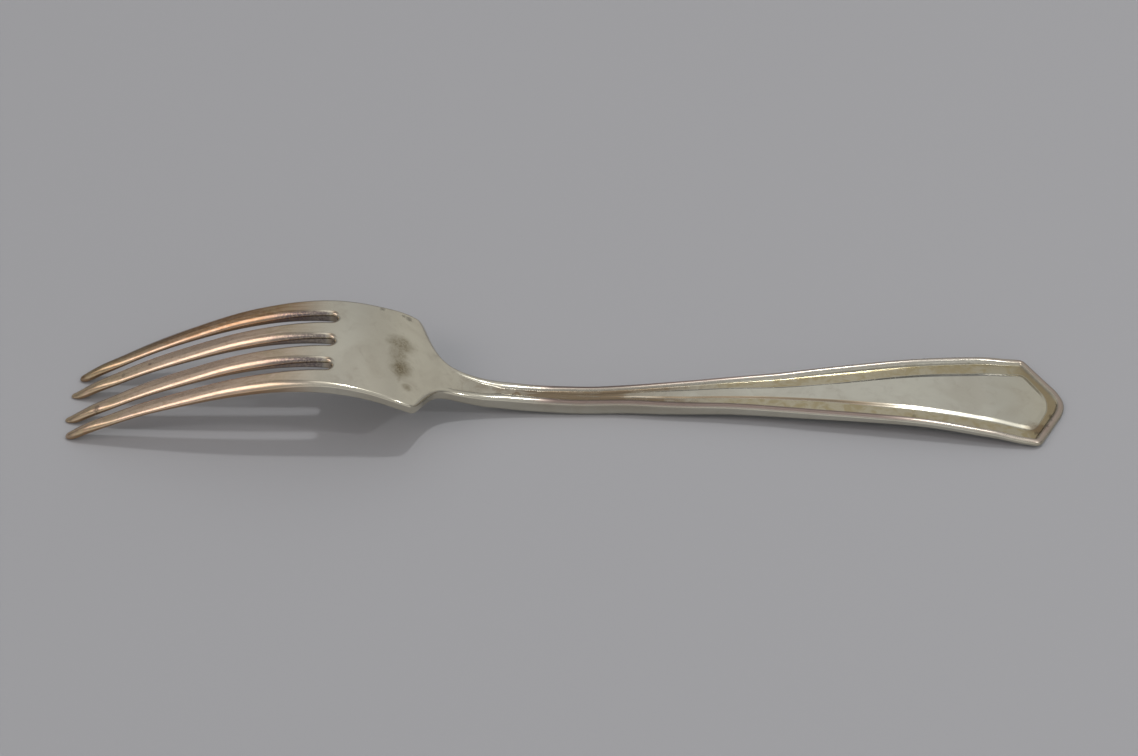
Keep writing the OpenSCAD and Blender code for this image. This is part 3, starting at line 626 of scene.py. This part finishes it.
def inner_points(shape, name, loop, limit):
    """Points inside the piece, none closer together than a few hundredths of a millimetre"""
    (x_low, y_low), (x_high, y_high) = loop.min(0), loop.max(0)
    found = ring_points(shape, name, x_low, x_high, limit)
    q = np.concatenate(found + [grid_points(shape, x_low, x_high, y_low, y_high)])
    if name in TINES:
        q = q[(q[:, 0] < x_high - CUT_GAP) & (q[:, 1] > y_low) & (q[:, 1] < y_high)]
        _, middle, half = shape.tine(TINES.index(name))
        q = q[np.abs(q[:, 1] - middle(q[:, 0])) < half(q[:, 0])]
    else:
        q = q[q[:, 0] > x_low + CUT_GAP]
        if name != "handle_end":
            q = q[q[:, 0] < x_high - CUT_GAP]
    seen = {}
    for row in q:
        seen.setdefault((round(row[0] / SAME_POINT), round(row[1] / SAME_POINT)), row)
    return np.array(list(seen.values()))


def triangulate(loop, inside):
    """Triangles over a piece in plan: its points, which given point each one is, and the faces"""
    plan = np.r_[loop, inside]
    edges = [(i, (i + 1) % len(loop)) for i in range(len(loop))]
    placed, _, faces, origin, _, _ = delaunay_2d_cdt([Vector(p) for p in plan], edges, [], 1, EXACT)
    source = np.array([o[0] if o else -1 for o in origin])
    p = np.array([plan[k] if k >= 0 else placed[i] for i, k in enumerate(source)])
    triangles = []
    for face in faces:
        a, b, c = (p[i] for i in face)
        turned = (b[0] - a[0]) * (c[1] - a[1]) - (b[1] - a[1]) * (c[0] - a[0])
        triangles.append(list(face) if turned > 0 else list(face)[::-1])
    return p, source, triangles


def rounded_side(shape, up, limit, x, y, d, dp, out, out_panel):
    """Heights and normals of the back, with up 1, or the front, with up -1, edges rounded"""
    if up > 0:
        height, radius, deep, facet = shape.top, shape.edge(x), shape.edge_depth(x), shape.facet(x)
    else:
        height, radius, deep, facet = shape.base, shape.front_edge(x), shape.front_depth(x), 0 * x
    radius = np.minimum(radius, limit(x))
    turn = np.clip((radius - d) / radius, 0, 1)
    level = np.sqrt(1 - turn ** 2)
    fall = (1 - facet) * (1 - level) + facet * turn ** FACET_POWER
    z = height(x, y, d, dp) - up * deep * fall
    flat = up * slopes(height, x, y, d, dp, out, out_panel)
    lean = deep / radius * ((1 - facet) * turn + facet * FACET_POWER * turn ** (FACET_POWER - 1) * level)
    normal = lean[:, None] * np.c_[out, np.zeros(len(x))] + level[:, None] * flat
    return z, normal / np.linalg.norm(normal, axis=1)[:, None]


def build_piece(shape, name):
    """One piece of the fork as a closed mesh with exact normals"""
    limit = rounding_limit(shape, name)
    loop, index = piece_loop(shape, name)
    count = len(loop)
    p, source, triangles = triangulate(loop, inner_points(shape, name, loop, limit))
    n = len(p)
    on_loop = (source >= 0) & (source < count)
    rim = on_loop & (index[np.where(on_loop, source, 0)] >= 0)
    x, y = p.T
    d, out = shape.outline.depth(p)
    out[rim] = shape.outline.normals[index[source[rim]]]
    d = np.where(rim, 0, np.maximum(d, 0))
    dp, out_panel = np.full(n, -FAR), np.zeros((n, 2))
    if shape.has_panel(x.max()):
        dp, out_panel = shape.panel.depth(p, margin=ALL)
    z_top, n_top = rounded_side(shape, 1, limit, x, y, d, dp, out, out_panel)
    z_base, n_base = rounded_side(shape, -1, limit, x, y, d, dp, out, out_panel)
    vertices = np.r_[np.c_[p, z_top], np.c_[p, z_base]] / MM
    number = {k: i for i, k in enumerate(source)}
    pairs = [(i, (i + 1) % count) for i in range(count)]
    walls = [[number[i], number[i] + n, number[j] + n, number[j]] for i, j in pairs]
    faces = triangles + [[i + n for i in t[::-1]] for t in triangles] + walls
    mesh = bpy.data.meshes.new(name)
    mesh.from_pydata(vertices.tolist(), [], faces)
    mesh.shade_smooth()
    corner = np.empty(len(mesh.loops), int)
    mesh.loops.foreach_get("vertex_index", corner)
    normals = np.r_[n_top, n_base][corner]
    first = len(mesh.loops) - 4 * len(walls)
    for k, (i, j) in enumerate(pairs):
        if index[i] < 0 or index[j] < 0:
            way = p[walls[k][3]] - p[walls[k][0]]
            way = way / np.linalg.norm(way)
            normals[first + 4 * k:first + 4 * k + 4] = (way[1], -way[0], 0)
    mesh.normals_split_custom_set(normals.tolist())
    # Depths inside the outline, the bead and the bevel's foot, and 1 on the back, for the material
    for label, values in (("edge_mm", np.tile(d, 2)), ("bead_mm", np.tile(d - shape.bead(x), 2)),
                          ("bevel_mm", np.tile(dp + shape.bevel(x), 2)),
                          ("back", np.repeat([1, 0], n))):
        mesh.attributes.new(label, "FLOAT", "POINT").data.foreach_set("value", values.astype(np.float32))
    obj = bpy.data.objects.new(name + "_metal", mesh)
    bpy.context.scene.collection.objects.link(obj)
    return obj


class Wire:
    """A node's output; arithmetic on it adds Math nodes"""

    def __init__(self, graph, socket):
        self.graph, self.socket = graph, socket

    def math(self, operation, *others):
        return self.graph.math(operation, self, *others)

    def __add__(self, other):
        return self.math("ADD", other)

    __radd__ = __add__

    def __sub__(self, other):
        return self.math("SUBTRACT", other)

    def __rsub__(self, other):
        return self.graph.math("SUBTRACT", other, self)

    def __mul__(self, other):
        return self.math("MULTIPLY", other)

    __rmul__ = __mul__

    def __truediv__(self, other):
        return self.math("DIVIDE", other)

    def __pow__(self, other):
        return self.math("POWER", other)

    def upto(self, most):
        """The value, but never above the most"""
        return self.math("MINIMUM", most)

    def smooth(self, low, high):
        """0 below low, 1 above high"""
        return self.graph.make("ShaderNodeMapRange", {"interpolation_type": "SMOOTHSTEP"},
                               {"Value": self, "From Min": low, "From Max": high})

    def near(self, place, width):
        """1 at the place, 0 further away than the width"""
        return 1 - (self - place).math("ABSOLUTE").smooth(0, width)


class Graph:
    """Makes the nodes of a material or world"""

    def __init__(self, tree):
        self.tree = tree
        tree.nodes.clear()

    def make(self, kind, settings=None, inputs=None, output=0):
        """Adds a node: its settings come first, then the values or links of its inputs"""
        node = self.tree.nodes.new(kind)
        for key, value in (settings or {}).items():
            if key == "stops":
                ramp = node.color_ramp
                while len(ramp.elements) < len(value):
                    ramp.elements.new(0.5)
                for element, (place, rgb) in zip(ramp.elements, value):
                    element.position, element.color = place, (*rgb, 1)
            else:
                setattr(node, key, value)
        for key, value in (inputs or {}).items():
            socket = node.inputs[key]
            if isinstance(value, Wire):
                self.tree.links.new(value.socket, socket)
            else:
                socket.default_value = value
        return Wire(self, node.outputs[output]) if node.outputs else None

    def math(self, operation, *values):
        return self.make("ShaderNodeMath", {"operation": operation}, dict(enumerate(values)))

    def mix(self, factor, a, b):
        """Goes from colour a to colour b"""
        a, b = ((*v, 1) if isinstance(v, tuple) else v for v in (a, b))
        return self.make("ShaderNodeMix", {"data_type": "RGBA"}, {0: factor, 6: a, 7: b}, 2)

    def parts(self, vector):
        """X, Y and Z of a vector"""
        node = self.make("ShaderNodeSeparateXYZ", None, {0: vector}).socket.node
        return [Wire(self, socket) for socket in node.outputs]

    def attribute(self, name):
        return self.make("ShaderNodeAttribute", {"attribute_name": name}, output=2)

    def noise(self, place, scale, detail, rough=0.5, distortion=0.0):
        return self.make("ShaderNodeTexNoise", None,
                         {"Vector": place, "Scale": scale, "Detail": detail, "Roughness": rough,
                          "Distortion": distortion})

    def stretched(self, place, scales, turn=0.0):
        return self.make("ShaderNodeMapping", None,
                         {"Vector": place, "Scale": scales, "Rotation": (0, 0, turn)})


# Stretches along the fork over which each layer, of tarnish and of painted shade alike, comes or goes, in
# millimetres from its middle
SPANS = {
    "tip": (-90, -83), "tip olive": (-88, -74), "far tine shade": (-80, -66), "root": (-59, -51),
    "blade": (-56, -43), "slot end": (-44.6, -43.6), "wall": (-42, -34), "bowl": (-26, -5),
    "groove": (-24, -12), "groove brown": (-14, -3), "rim": (-8, -2), "rim shade": (-5, -1),
    "crease": (4, 12), "panel": (6, 18), "far rim shade": (6, 30), "groove end": (10, 32), "bevel": (12, 20),
    "handle": (18, 34), "far rose": (26, 48), "near bevel": (54, 68), "near rim shade": (58, 68),
    "near rose": (58, 72), "end olive": (80, 92), "far bevel": (84, 87), "end": (85, 90),
}
# Noises on the metal: scale per millimetre, detail, roughness and distortion
BROAD, PATCHES, FINE = (0.11, 3, 0.55, 0.6), (0.45, 4, 0.6, 0.8), (2.6, 3)
STREAKS, WAVES, SCRATCH = (1.0, 3, 0.6, 0.3), (0.3, 1), (1.0, 1)
# How the streaks and the two sets of scratches are drawn out, and how the scratches are turned
STREAK_SCALES, SCRATCHES = (0.12, 2.2, 2.2), [((0.3, 5, 1), 0.25), ((0.2, 4, 1), -0.5)]
# Stains in millimetres: x, y, two radii and a strength
STAINS = [[-30.4, 2.6, 2.7, 2.8, 0.75], [-30.2, -3.6, 2.3, 3.1, 1], [-30.6, -0.4, 2.1, 5, 0.6],
          [-28.8, -8.1, 0.9, 1.1, 0.7]]
# Nicks in millimetres: x, y, a radius and a strength
NICKS = [[-34.5, 11.3, 0.6, 0.7], [-29.5, 11, 0.8, 0.7], [-30.6, 11.2, 0.6, 0.6], [92, -3.6, 0.7, 0.7],
         [88.7, -8.6, 0.8, 0.7], [90.5, -6.7, 0.8, 0.7], [91.6, -5.2, 0.5, 0.6], [65.7, -6.4, 0.5, 0.5],
         [-88.3, -4.3, 0.8, 1], [-84, 2.6, 0.5, 0.7], [-78.6, 3, 0.5, 0.7]]
# Brown dirt with a painted shadow where the panel turns its near corner at the end, in millimetres: x, y
# and two radii
END_SHADOW_PATCH = (88.8, -7.3, 2.6, 1.7)
# The most that a layer covers
MOST = 0.95


def strongest(masks):
    """The strongest of several masks at each place"""
    return reduce(lambda a, b: a.math("MAXIMUM", b), masks)


class Metal:
    """The silver's layers of colour, and the places, depths and noises that they are mixed from"""

    def __init__(self, graph, colours):
        self.graph, self.colours = graph, colours
        raw, normal = (graph.make("ShaderNodeTexCoord", output=k) for k in (3, 1))
        self.place = graph.make("ShaderNodeVectorMath", {"operation": "SCALE"}, {0: raw, "Scale": MM})
        self.x, self.y, _ = graph.parts(self.place)
        _, self.tilt, _ = graph.parts(normal)
        self.edge, self.back = graph.attribute("edge_mm"), graph.attribute("back")
        self.bead, self.bevel = graph.attribute("bead_mm"), graph.attribute("bevel_mm")
        self.broad, self.patches, self.fine = (graph.noise(self.place, *n) for n in (BROAD, PATCHES, FINE))
        self.streaks = graph.noise(graph.stretched(self.place, STREAK_SCALES), *STREAKS)
        self.on_blade = self.before("blade")
        self.base = graph.mix(self.past("bowl"), tuple(colours.bowl), tuple(colours.silver))

    def past(self, span):
        """0 before a stretch of the fork, 1 beyond it"""
        return self.x.smooth(*SPANS[span])

    def before(self, span):
        """1 before a stretch of the fork, 0 beyond it"""
        return 1 - self.past(span)

    def lay(self, colour, share, strength=None):
        """Lays a colour over the ones before"""
        share = share if strength is None else share * strength
        self.base = self.graph.mix(share, self.base, tuple(getattr(self.colours, colour)))

    def blot(self, x, y, reach_x, reach_y):
        """Mask of a ragged oval patch"""
        away = (((self.x - x) / reach_x) ** 2 + ((self.y - y) / reach_y) ** 2) ** 0.5
        away = away + (self.patches - 0.5) * 1.5 + (self.fine - 0.5) * 0.7
        return 1 - away.smooth(0.1, 1.3)

    def nick(self, x, y, radius):
        """Mask of a small dark nick"""
        away = ((self.x - x) ** 2 + (self.y - y) ** 2) ** 0.5 + (self.fine - 0.5) * radius * 2
        return 1 - away.smooth(radius * 0.3, radius)


def tarnish_and_shade_tines(m):
    """Rose brown tines with painted shade on the far outer one, the tips and the flanks below; violet
    tarnish with painted dark reflection in the slots, brown at their ends
    """
    m.lay("blade", m.on_blade)
    # Painted shade: the far outer tine and, more lightly, all the tips are darkened with the deep brown
    outer = m.on_blade * m.y.smooth(6.2, 8.8) * 0.95 + m.before("tip") * 0.35
    m.lay("deep", (outer * (0.75 + 0.3 * m.streaks.smooth(0.4, 0.6))).upto(MOST))
    m.lay("deep", m.on_blade * m.streaks.smooth(0.45, 0.7), 0.3)
    low = m.before("tip olive") * 0.5 + m.x.near(-52, 9) * 0.45
    m.lay("olive", low * m.on_blade * m.patches.smooth(0.3, 0.6))
    # Painted shade: the tines' flanks that face the camera are darkened with the deep brown
    m.lay("deep", (-0.78 - m.tilt).smooth(0, 0.2) * m.on_blade, 0.8)
    # Violet grey on the slot walls near the roots that face the camera: tarnish, with painted dark
    # reflection
    facing = (-0.3 - m.tilt).smooth(0, 0.35) * (1 - m.edge.smooth(0.5, 1.1))
    at_root = m.past("root") * m.before("slot end") * m.y.smooth(-8.6, -8)
    m.lay("violet", facing * at_root * (0.45 + 0.5 * m.fine.smooth(0.35, 0.6)))
    slot_end = m.x.near(-43.1, 1.3) * (1 - m.edge.smooth(0.6, 1)) * (1 - (m.y * m.y).smooth(70, 80))
    m.lay("deep", slot_end, 0.75)
    m.lay("silver", m.x.near(-40, 6), 0.6)


def dull_faces_and_walls(m):
    """Duller patches on the faces, olive on the side walls"""
    dull = m.broad.smooth(0.4, 0.65) * 0.3 + m.patches.smooth(0.5, 0.75) * 0.25
    m.lay("dull", dull * (1 - m.on_blade * 0.6))
    # A darker olive on the side walls, near the outline
    m.lay("wall", (1 - m.edge.smooth(0.05, 0.3)) * m.past("wall"), 0.35)


def tarnish_and_shade_handle(m):
    """Brown groove, olive channel, rose rims, and painted shade on the bevels, creases and rims; gives the
    brown, the rose and the mask of painted shade
    """
    far = m.y.smooth(-1, 1)
    near = 1 - far
    groove, in_handle, end_only = m.past("groove"), m.past("handle"), m.past("end")
    lane = m.bead.smooth(-0.15, 0.25) * (1 - m.bevel.smooth(-0.3, 0.1) * m.past("panel")) * groove
    browned = m.past("groove brown") * m.before("groove end")
    blotches = m.patches.smooth(0.4, 0.65)
    olive = (lane * in_handle * (0.6 + 0.35 * blotches + 0.3 * end_only)
             + m.past("end olive") * 0.3 * m.back * (1 - lane))
    m.lay("olive", olive.upto(MOST) * m.back)
    on_rim = 1 - m.bead.smooth(-0.6, -0.1)
    in_groove = lane * (0.2 + 0.3 * blotches + browned * (0.25 + 0.4 * m.streaks.smooth(0.35, 0.6)))
    brown = (in_groove * (1 - in_handle) + (lane * 0.45 + on_rim * 0.3) * end_only + browned * 0.25
             # the patch at the end: brown dirt with a painted shadow
             + m.blot(*END_SHADOW_PATCH) * 0.7) * m.back
    m.lay("brown", brown.upto(0.9))
    rim = on_rim * m.edge.smooth(0.05, 0.4) * m.past("rim") * m.back
    rosy = rim * (0.9 - far * m.past("far rose") * 0.5 - near * m.past("near rose") * 0.5 + end_only * 0.2)
    m.lay("rose", rosy.upto(MOST))
    on_bevel = m.bevel.smooth(-0.25, 0) * m.past("bevel") * m.back
    # Painted dark reflection: blue grey on the far bevel, which faces away from the camera
    m.lay("slate_shade", on_bevel * m.tilt.smooth(0.04, 0.15) * far * m.before("far bevel"), 0.85)
    # Brown tarnish with painted shade on the near bevel, which faces the camera, before the stretch where
    # it catches the light
    m.lay("brown", on_bevel * (0 - m.tilt).smooth(0.04, 0.15) * near * m.before("near bevel"), 0.8)
    # Painted shade in the creases: at the foot of the rim, lighter on the far side, and at the foot of the
    # bevel, mottled
    foot = m.bead.near(-0.1, 0.3) * groove * (1 - end_only) * (1 - 0.6 * far)
    crease = m.bevel.near(0, 0.12) * m.past("crease")
    dirt_and_shade = (foot * 0.6 + crease * 0.55) * (0.5 + 0.5 * m.fine.smooth(0.35, 0.65)) * m.back
    # Painted shade on the rims from the stem on: on the far side to the stem's end, on the near side along
    # most of the handle
    rim_shade = far * m.before("far rim shade") * 0.6 + near * m.before("near rim shade") * 0.5
    rim_shade = rim * m.past("rim shade") * rim_shade
    return brown, rosy, strongest([dirt_and_shade, rim_shade])


def mark_metal(m, dirt_and_shade):
    """Stains, dark nicks joined to the painted shade, and painted shade on the far outer tine; gives the
    stains and the mask of nicks and shade
    """
    stain = strongest([m.blot(*mark) * strength for *mark, strength in STAINS])
    stain = stain * (0.6 + 0.4 * m.fine.smooth(0.4, 0.6))
    m.lay("stain", stain * m.back, 0.95)
    nicks = strongest([m.nick(*mark) * strength for *mark, strength in NICKS])
    dirt_and_shade = strongest([dirt_and_shade, nicks * m.back * 0.65])
    # Lays the dark colour: dirt in the nicks, painted shade in the creases and on the rims
    m.lay("dark", dirt_and_shade.upto(MOST))
    # Painted shade on the far edge of the far outer tine, towards its tip
    m.lay("dark", m.on_blade * m.y.smooth(7, 9) * m.before("far tine shade"), 0.4)
    return stain, dirt_and_shade


def silver_material(colours):
    """Tarnished silver plate, in layers from the clean metal to the nicks and the painted shade"""
    material = bpy.data.materials.new("tarnished_silver")
    material.use_nodes = True
    g = Graph(material.node_tree)
    m = Metal(g, colours)
    tarnish_and_shade_tines(m)
    dull_faces_and_walls(m)
    brown, rosy, dirt_and_shade = tarnish_and_shade_handle(m)
    stain, dirt_and_shade = mark_metal(m, dirt_and_shade)
    rough = (0.12 + 0.08 * m.broad + 0.06 * m.patches.smooth(0.35, 0.7)
             + brown * 0.12 + dirt_and_shade * 0.3 + rosy * 0.25 + stain * 0.1)
    height = g.noise(m.place, *WAVES) * 0.5
    for scales, turn in SCRATCHES:
        height = height + g.noise(g.stretched(m.place, scales, turn), *SCRATCH) * 0.06
    height = height + m.fine * 0.012
    bump = g.make("ShaderNodeBump", None, {"Strength": 0.2, "Distance": 0.0001, "Height": height})
    shader = g.make("ShaderNodeBsdfPrincipled", None,
                    {"Base Color": m.base, "Metallic": 1.0, "Roughness": rough, "Normal": bump})
    g.make("ShaderNodeOutputMaterial", None, {"Surface": shader})
    return material


def paper_material(rgb):
    """Matt paper of the floor, with a faint unevenness"""
    material = bpy.data.materials.new("floor_paper")
    material.use_nodes = True
    g = Graph(material.node_tree)
    soft = g.noise(g.make("ShaderNodeTexCoord", output=3), 9, 2)
    base = g.mix(soft * 0.25, rgb, tuple(v * 0.96 for v in rgb))
    shader = g.make("ShaderNodeBsdfPrincipled", None, {"Base Color": base, "Roughness": 0.9})
    g.make("ShaderNodeOutputMaterial", None, {"Surface": shader})
    return material


def current_shape():
    """The fork's lines from the scene's settings, in millimetres"""
    group = bpy.context.scene.fork_sizes
    sizes = {name: getattr(group, name) * MM for name in ForkSizes.__annotations__}
    return Shape(SimpleNamespace(**sizes))


def silver():
    """The silver, made once and shared by all pieces"""
    found = bpy.data.materials.get("tarnished_silver")
    return found or silver_material(bpy.context.scene.fork_colours)


def add_pieces(*names):
    """Builds pieces, finishes them and puts them on the frame"""
    shape = current_shape()
    for name in names:
        piece = build_piece(shape, name)
        piece.data.materials.append(silver())
        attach(piece, "root")
        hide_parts(name)
    return {"FINISHED"}


class FORK_OT_tines(bpy.types.Operator):
    """Add the four tines"""
    bl_idname = "fork.tines"
    bl_label = "Tines"

    def execute(self, context):
        return add_pieces(*TINES)


class FORK_OT_palm(bpy.types.Operator):
    """Add the palm with the ends of the slots"""
    bl_idname = "fork.palm"
    bl_label = "Palm"

    def execute(self, context):
        return add_pieces("palm")


class FORK_OT_neck(bpy.types.Operator):
    """Add the neck with its shoulders"""
    bl_idname = "fork.neck"
    bl_label = "Neck"

    def execute(self, context):
        return add_pieces("neck")


class FORK_OT_stem(bpy.types.Operator):
    """Add the beaded stem"""
    bl_idname = "fork.stem"
    bl_label = "Stem"

    def execute(self, context):
        return add_pieces("stem")


class FORK_OT_handle(bpy.types.Operator):
    """Add the handle and its end piece"""
    bl_idname = "fork.handle"
    bl_label = "Handle"

    def execute(self, context):
        return add_pieces("handle", "handle_end")


def add_lamp(name, direction, power, stage):
    """A round lamp that shines on the fork from a direction"""
    data = bpy.data.lights.new(name, "AREA")
    data.shape, data.size, data.energy = "DISK", stage.lamp_size, power
    lamp = bpy.data.objects.new(name, data)
    way = Vector(direction).normalized()
    lamp.location = way * stage.lamp_distance
    lamp.rotation_euler = way.to_track_quat("Z", "Y").to_euler()
    bpy.context.scene.collection.objects.link(lamp)


def soft_panel(way, centre, reach, turn):
    """Mask of a soft light panel seen in a direction of the sky"""
    along_x, along_y = float(np.cos(turn)), float(np.sin(turn))
    off_x, off_y = way[0] - centre[0], way[1] - centre[1]
    away = (((off_x * along_x + off_y * along_y) / reach[0]) ** 2
            + ((off_y * along_x - off_x * along_y) / reach[1]) ** 2)
    return (1 - away.smooth(0.4, 1.4)) * way[2].smooth(0.1, 0.3)


# Greys of the sky from straight across to overhead: height and colour
SKY = [(0, (0.17, 0.17, 0.18)), (0.2, (0.22, 0.22, 0.23)), (0.42, (0.32, 0.32, 0.33)),
       (0.56, (0.47, 0.47, 0.47)), (0.68, (0.62, 0.62, 0.62)), (0.8, (0.5, 0.5, 0.51)),
       (0.92, (0.34, 0.34, 0.35)), (1, (0.28, 0.28, 0.29))]
# Soft panels of light overhead: centre, reach, turn and colour
PANELS = [((-0.55, -0.42), (0.42, 0.13), -0.63, (2.6, 2.3, 2.2)),
          ((0.04, 0), (0.16, 0.45), 0.0, (0.95, 0.93, 0.92)),
          ((0.32, 0.1), (0.2, 0.13), 0.0, (1.3, 1.3, 1.28))]


def studio_world():
    """Soft studio surroundings: pale overhead, dim towards the horizon, with light panels"""
    world = bpy.data.worlds.new("studio")
    world.use_nodes = True
    g = Graph(world.node_tree)
    way = g.parts(g.make("ShaderNodeTexCoord"))
    x, y, z = way
    tone = g.make("ShaderNodeValToRGB", {"stops": SKY}, {0: z})
    # Low walls behind on the right and the left, then the front, high up and low down
    behind, front = y.smooth(0, 0.4), 1 - y.smooth(-0.5, 0)
    tone = g.mix(x.smooth(0.1, 0.45) * behind * (1 - z.smooth(0.45, 0.6)), tone, (0.56, 0.56, 0.55))
    tone = g.mix((0 - x).smooth(0.5, 0.65) * behind * (1 - z.smooth(0.25, 0.4)), tone, (0.45, 0.45, 0.44))
    tone = g.mix(front * z.smooth(0.3, 0.6) * 0.9, tone, (0.55, 0.55, 0.56))
    tone = g.mix(front * (1 - z.smooth(0.2, 0.4)) * 0.8, tone, (0.9, 0.9, 0.9))
    for centre, reach, turn, rgb in PANELS:
        tone = g.mix(soft_panel(way, centre, reach, turn), tone, rgb)
    light = g.make("ShaderNodeBackground", None, {"Color": tone, "Strength": 1.0})
    g.make("ShaderNodeOutputWorld", None, {"Surface": light})
    bpy.context.scene.world = world


# Half the floor's depth, the backdrop's bend and the floor's width over its depth, in metres
FLOOR, BEND, WIDE = 1.6, 0.35, 1.4
# The camera: lens and sensor, place in millimetres, and the directions of right, up and back
LENS, SENSOR = 70.07, 36.0
CAMERA_PLACE = (8.0991, -310.5669, 287.2758)
CAMERA_TURN = ((0.99985311, 0.0105235, -0.01352802), (0.00301151, 0.66915417, 0.7431175),
               (0.01687253, -0.74304909, 0.66902419))


def add_floor(rgb):
    """A floor that bends up to a backdrop behind the fork"""
    profile = [(-FLOOR, 0), (FLOOR - BEND, 0)]
    profile += [(FLOOR - BEND + BEND * np.sin(a), BEND - BEND * np.cos(a))
                for a in np.linspace(0.1, np.pi / 2, 14)]
    rows = [(side * FLOOR * WIDE, y, z) for y, z in profile for side in (-1, 1)]
    faces = [(2 * k, 2 * k + 1, 2 * k + 3, 2 * k + 2) for k in range(len(profile) - 1)]
    mesh = bpy.data.meshes.new("floor")
    mesh.from_pydata(rows, [], faces)
    mesh.shade_smooth()
    floor = bpy.data.objects.new("floor", mesh)
    floor.data.materials.append(paper_material(rgb))
    bpy.context.scene.collection.objects.link(floor)


def add_camera(scene):
    """The camera at the photograph's viewing angle"""
    data = bpy.data.cameras.new("camera")
    data.lens, data.sensor_width, data.sensor_fit = LENS, SENSOR, "HORIZONTAL"
    data.clip_start, data.clip_end = 0.01, 20
    camera = bpy.data.objects.new("camera", data)
    turn = Matrix(CAMERA_TURN).transposed().to_4x4()
    turn.translation = Vector(CAMERA_PLACE) / MM
    camera.matrix_world = turn
    scene.collection.objects.link(camera)
    scene.camera = camera


class FORK_OT_stage(bpy.types.Operator):
    """Add the floor, backdrop, lamps and camera"""
    bl_idname = "fork.stage"
    bl_label = "Stage"

    def execute(self, context):
        scene = context.scene
        stage = scene.fork_stage
        add_floor(tuple(scene.fork_colours.floor))
        add_lamp("top_lamp", (0.21, 0.05, 1), stage.top_lamp, stage)
        add_lamp("side_lamp", (0.93, -0.51, 1), stage.side_lamp, stage)
        studio_world()
        add_camera(scene)
        scene.view_settings.view_transform = "Standard"
        return {"FINISHED"}


OPERATORS = (FORK_OT_tines, FORK_OT_palm, FORK_OT_neck, FORK_OT_stem, FORK_OT_handle, FORK_OT_stage)


class FORK_PT_panel(bpy.types.Panel):
    """Lists the fork's pieces"""
    bl_label = "Fork"
    bl_idname = "FORK_PT_panel"
    bl_space_type = "VIEW_3D"
    bl_region_type = "UI"
    bl_category = "Fork"

    def draw(self, context):
        for operator in OPERATORS:
            self.layout.operator(operator.bl_idname)


GROUPS = {"fork_sizes": ForkSizes, "fork_colours": ForkColours, "fork_stage": StageSettings}


def register():
    """Adds the classes and the scene's settings"""
    for cls in (*GROUPS.values(), *OPERATORS, FORK_PT_panel):
        bpy.utils.register_class(cls)
    for name, group in GROUPS.items():
        setattr(bpy.types.Scene, name, PointerProperty(type=group))


def unregister():
    """Takes the settings and the classes out again"""
    for name in GROUPS:
        delattr(bpy.types.Scene, name)
    for cls in (FORK_PT_panel, *reversed(OPERATORS), *GROUPS.values()):
        bpy.utils.unregister_class(cls)


def main():
    """Builds the stage and the fork"""
    register()
    bpy.ops.fork.stage()
    bpy.ops.fork.tines()
    bpy.ops.fork.palm()
    bpy.ops.fork.neck()
    bpy.ops.fork.stem()
    bpy.ops.fork.handle()


if __name__ == "__main__":
    main()
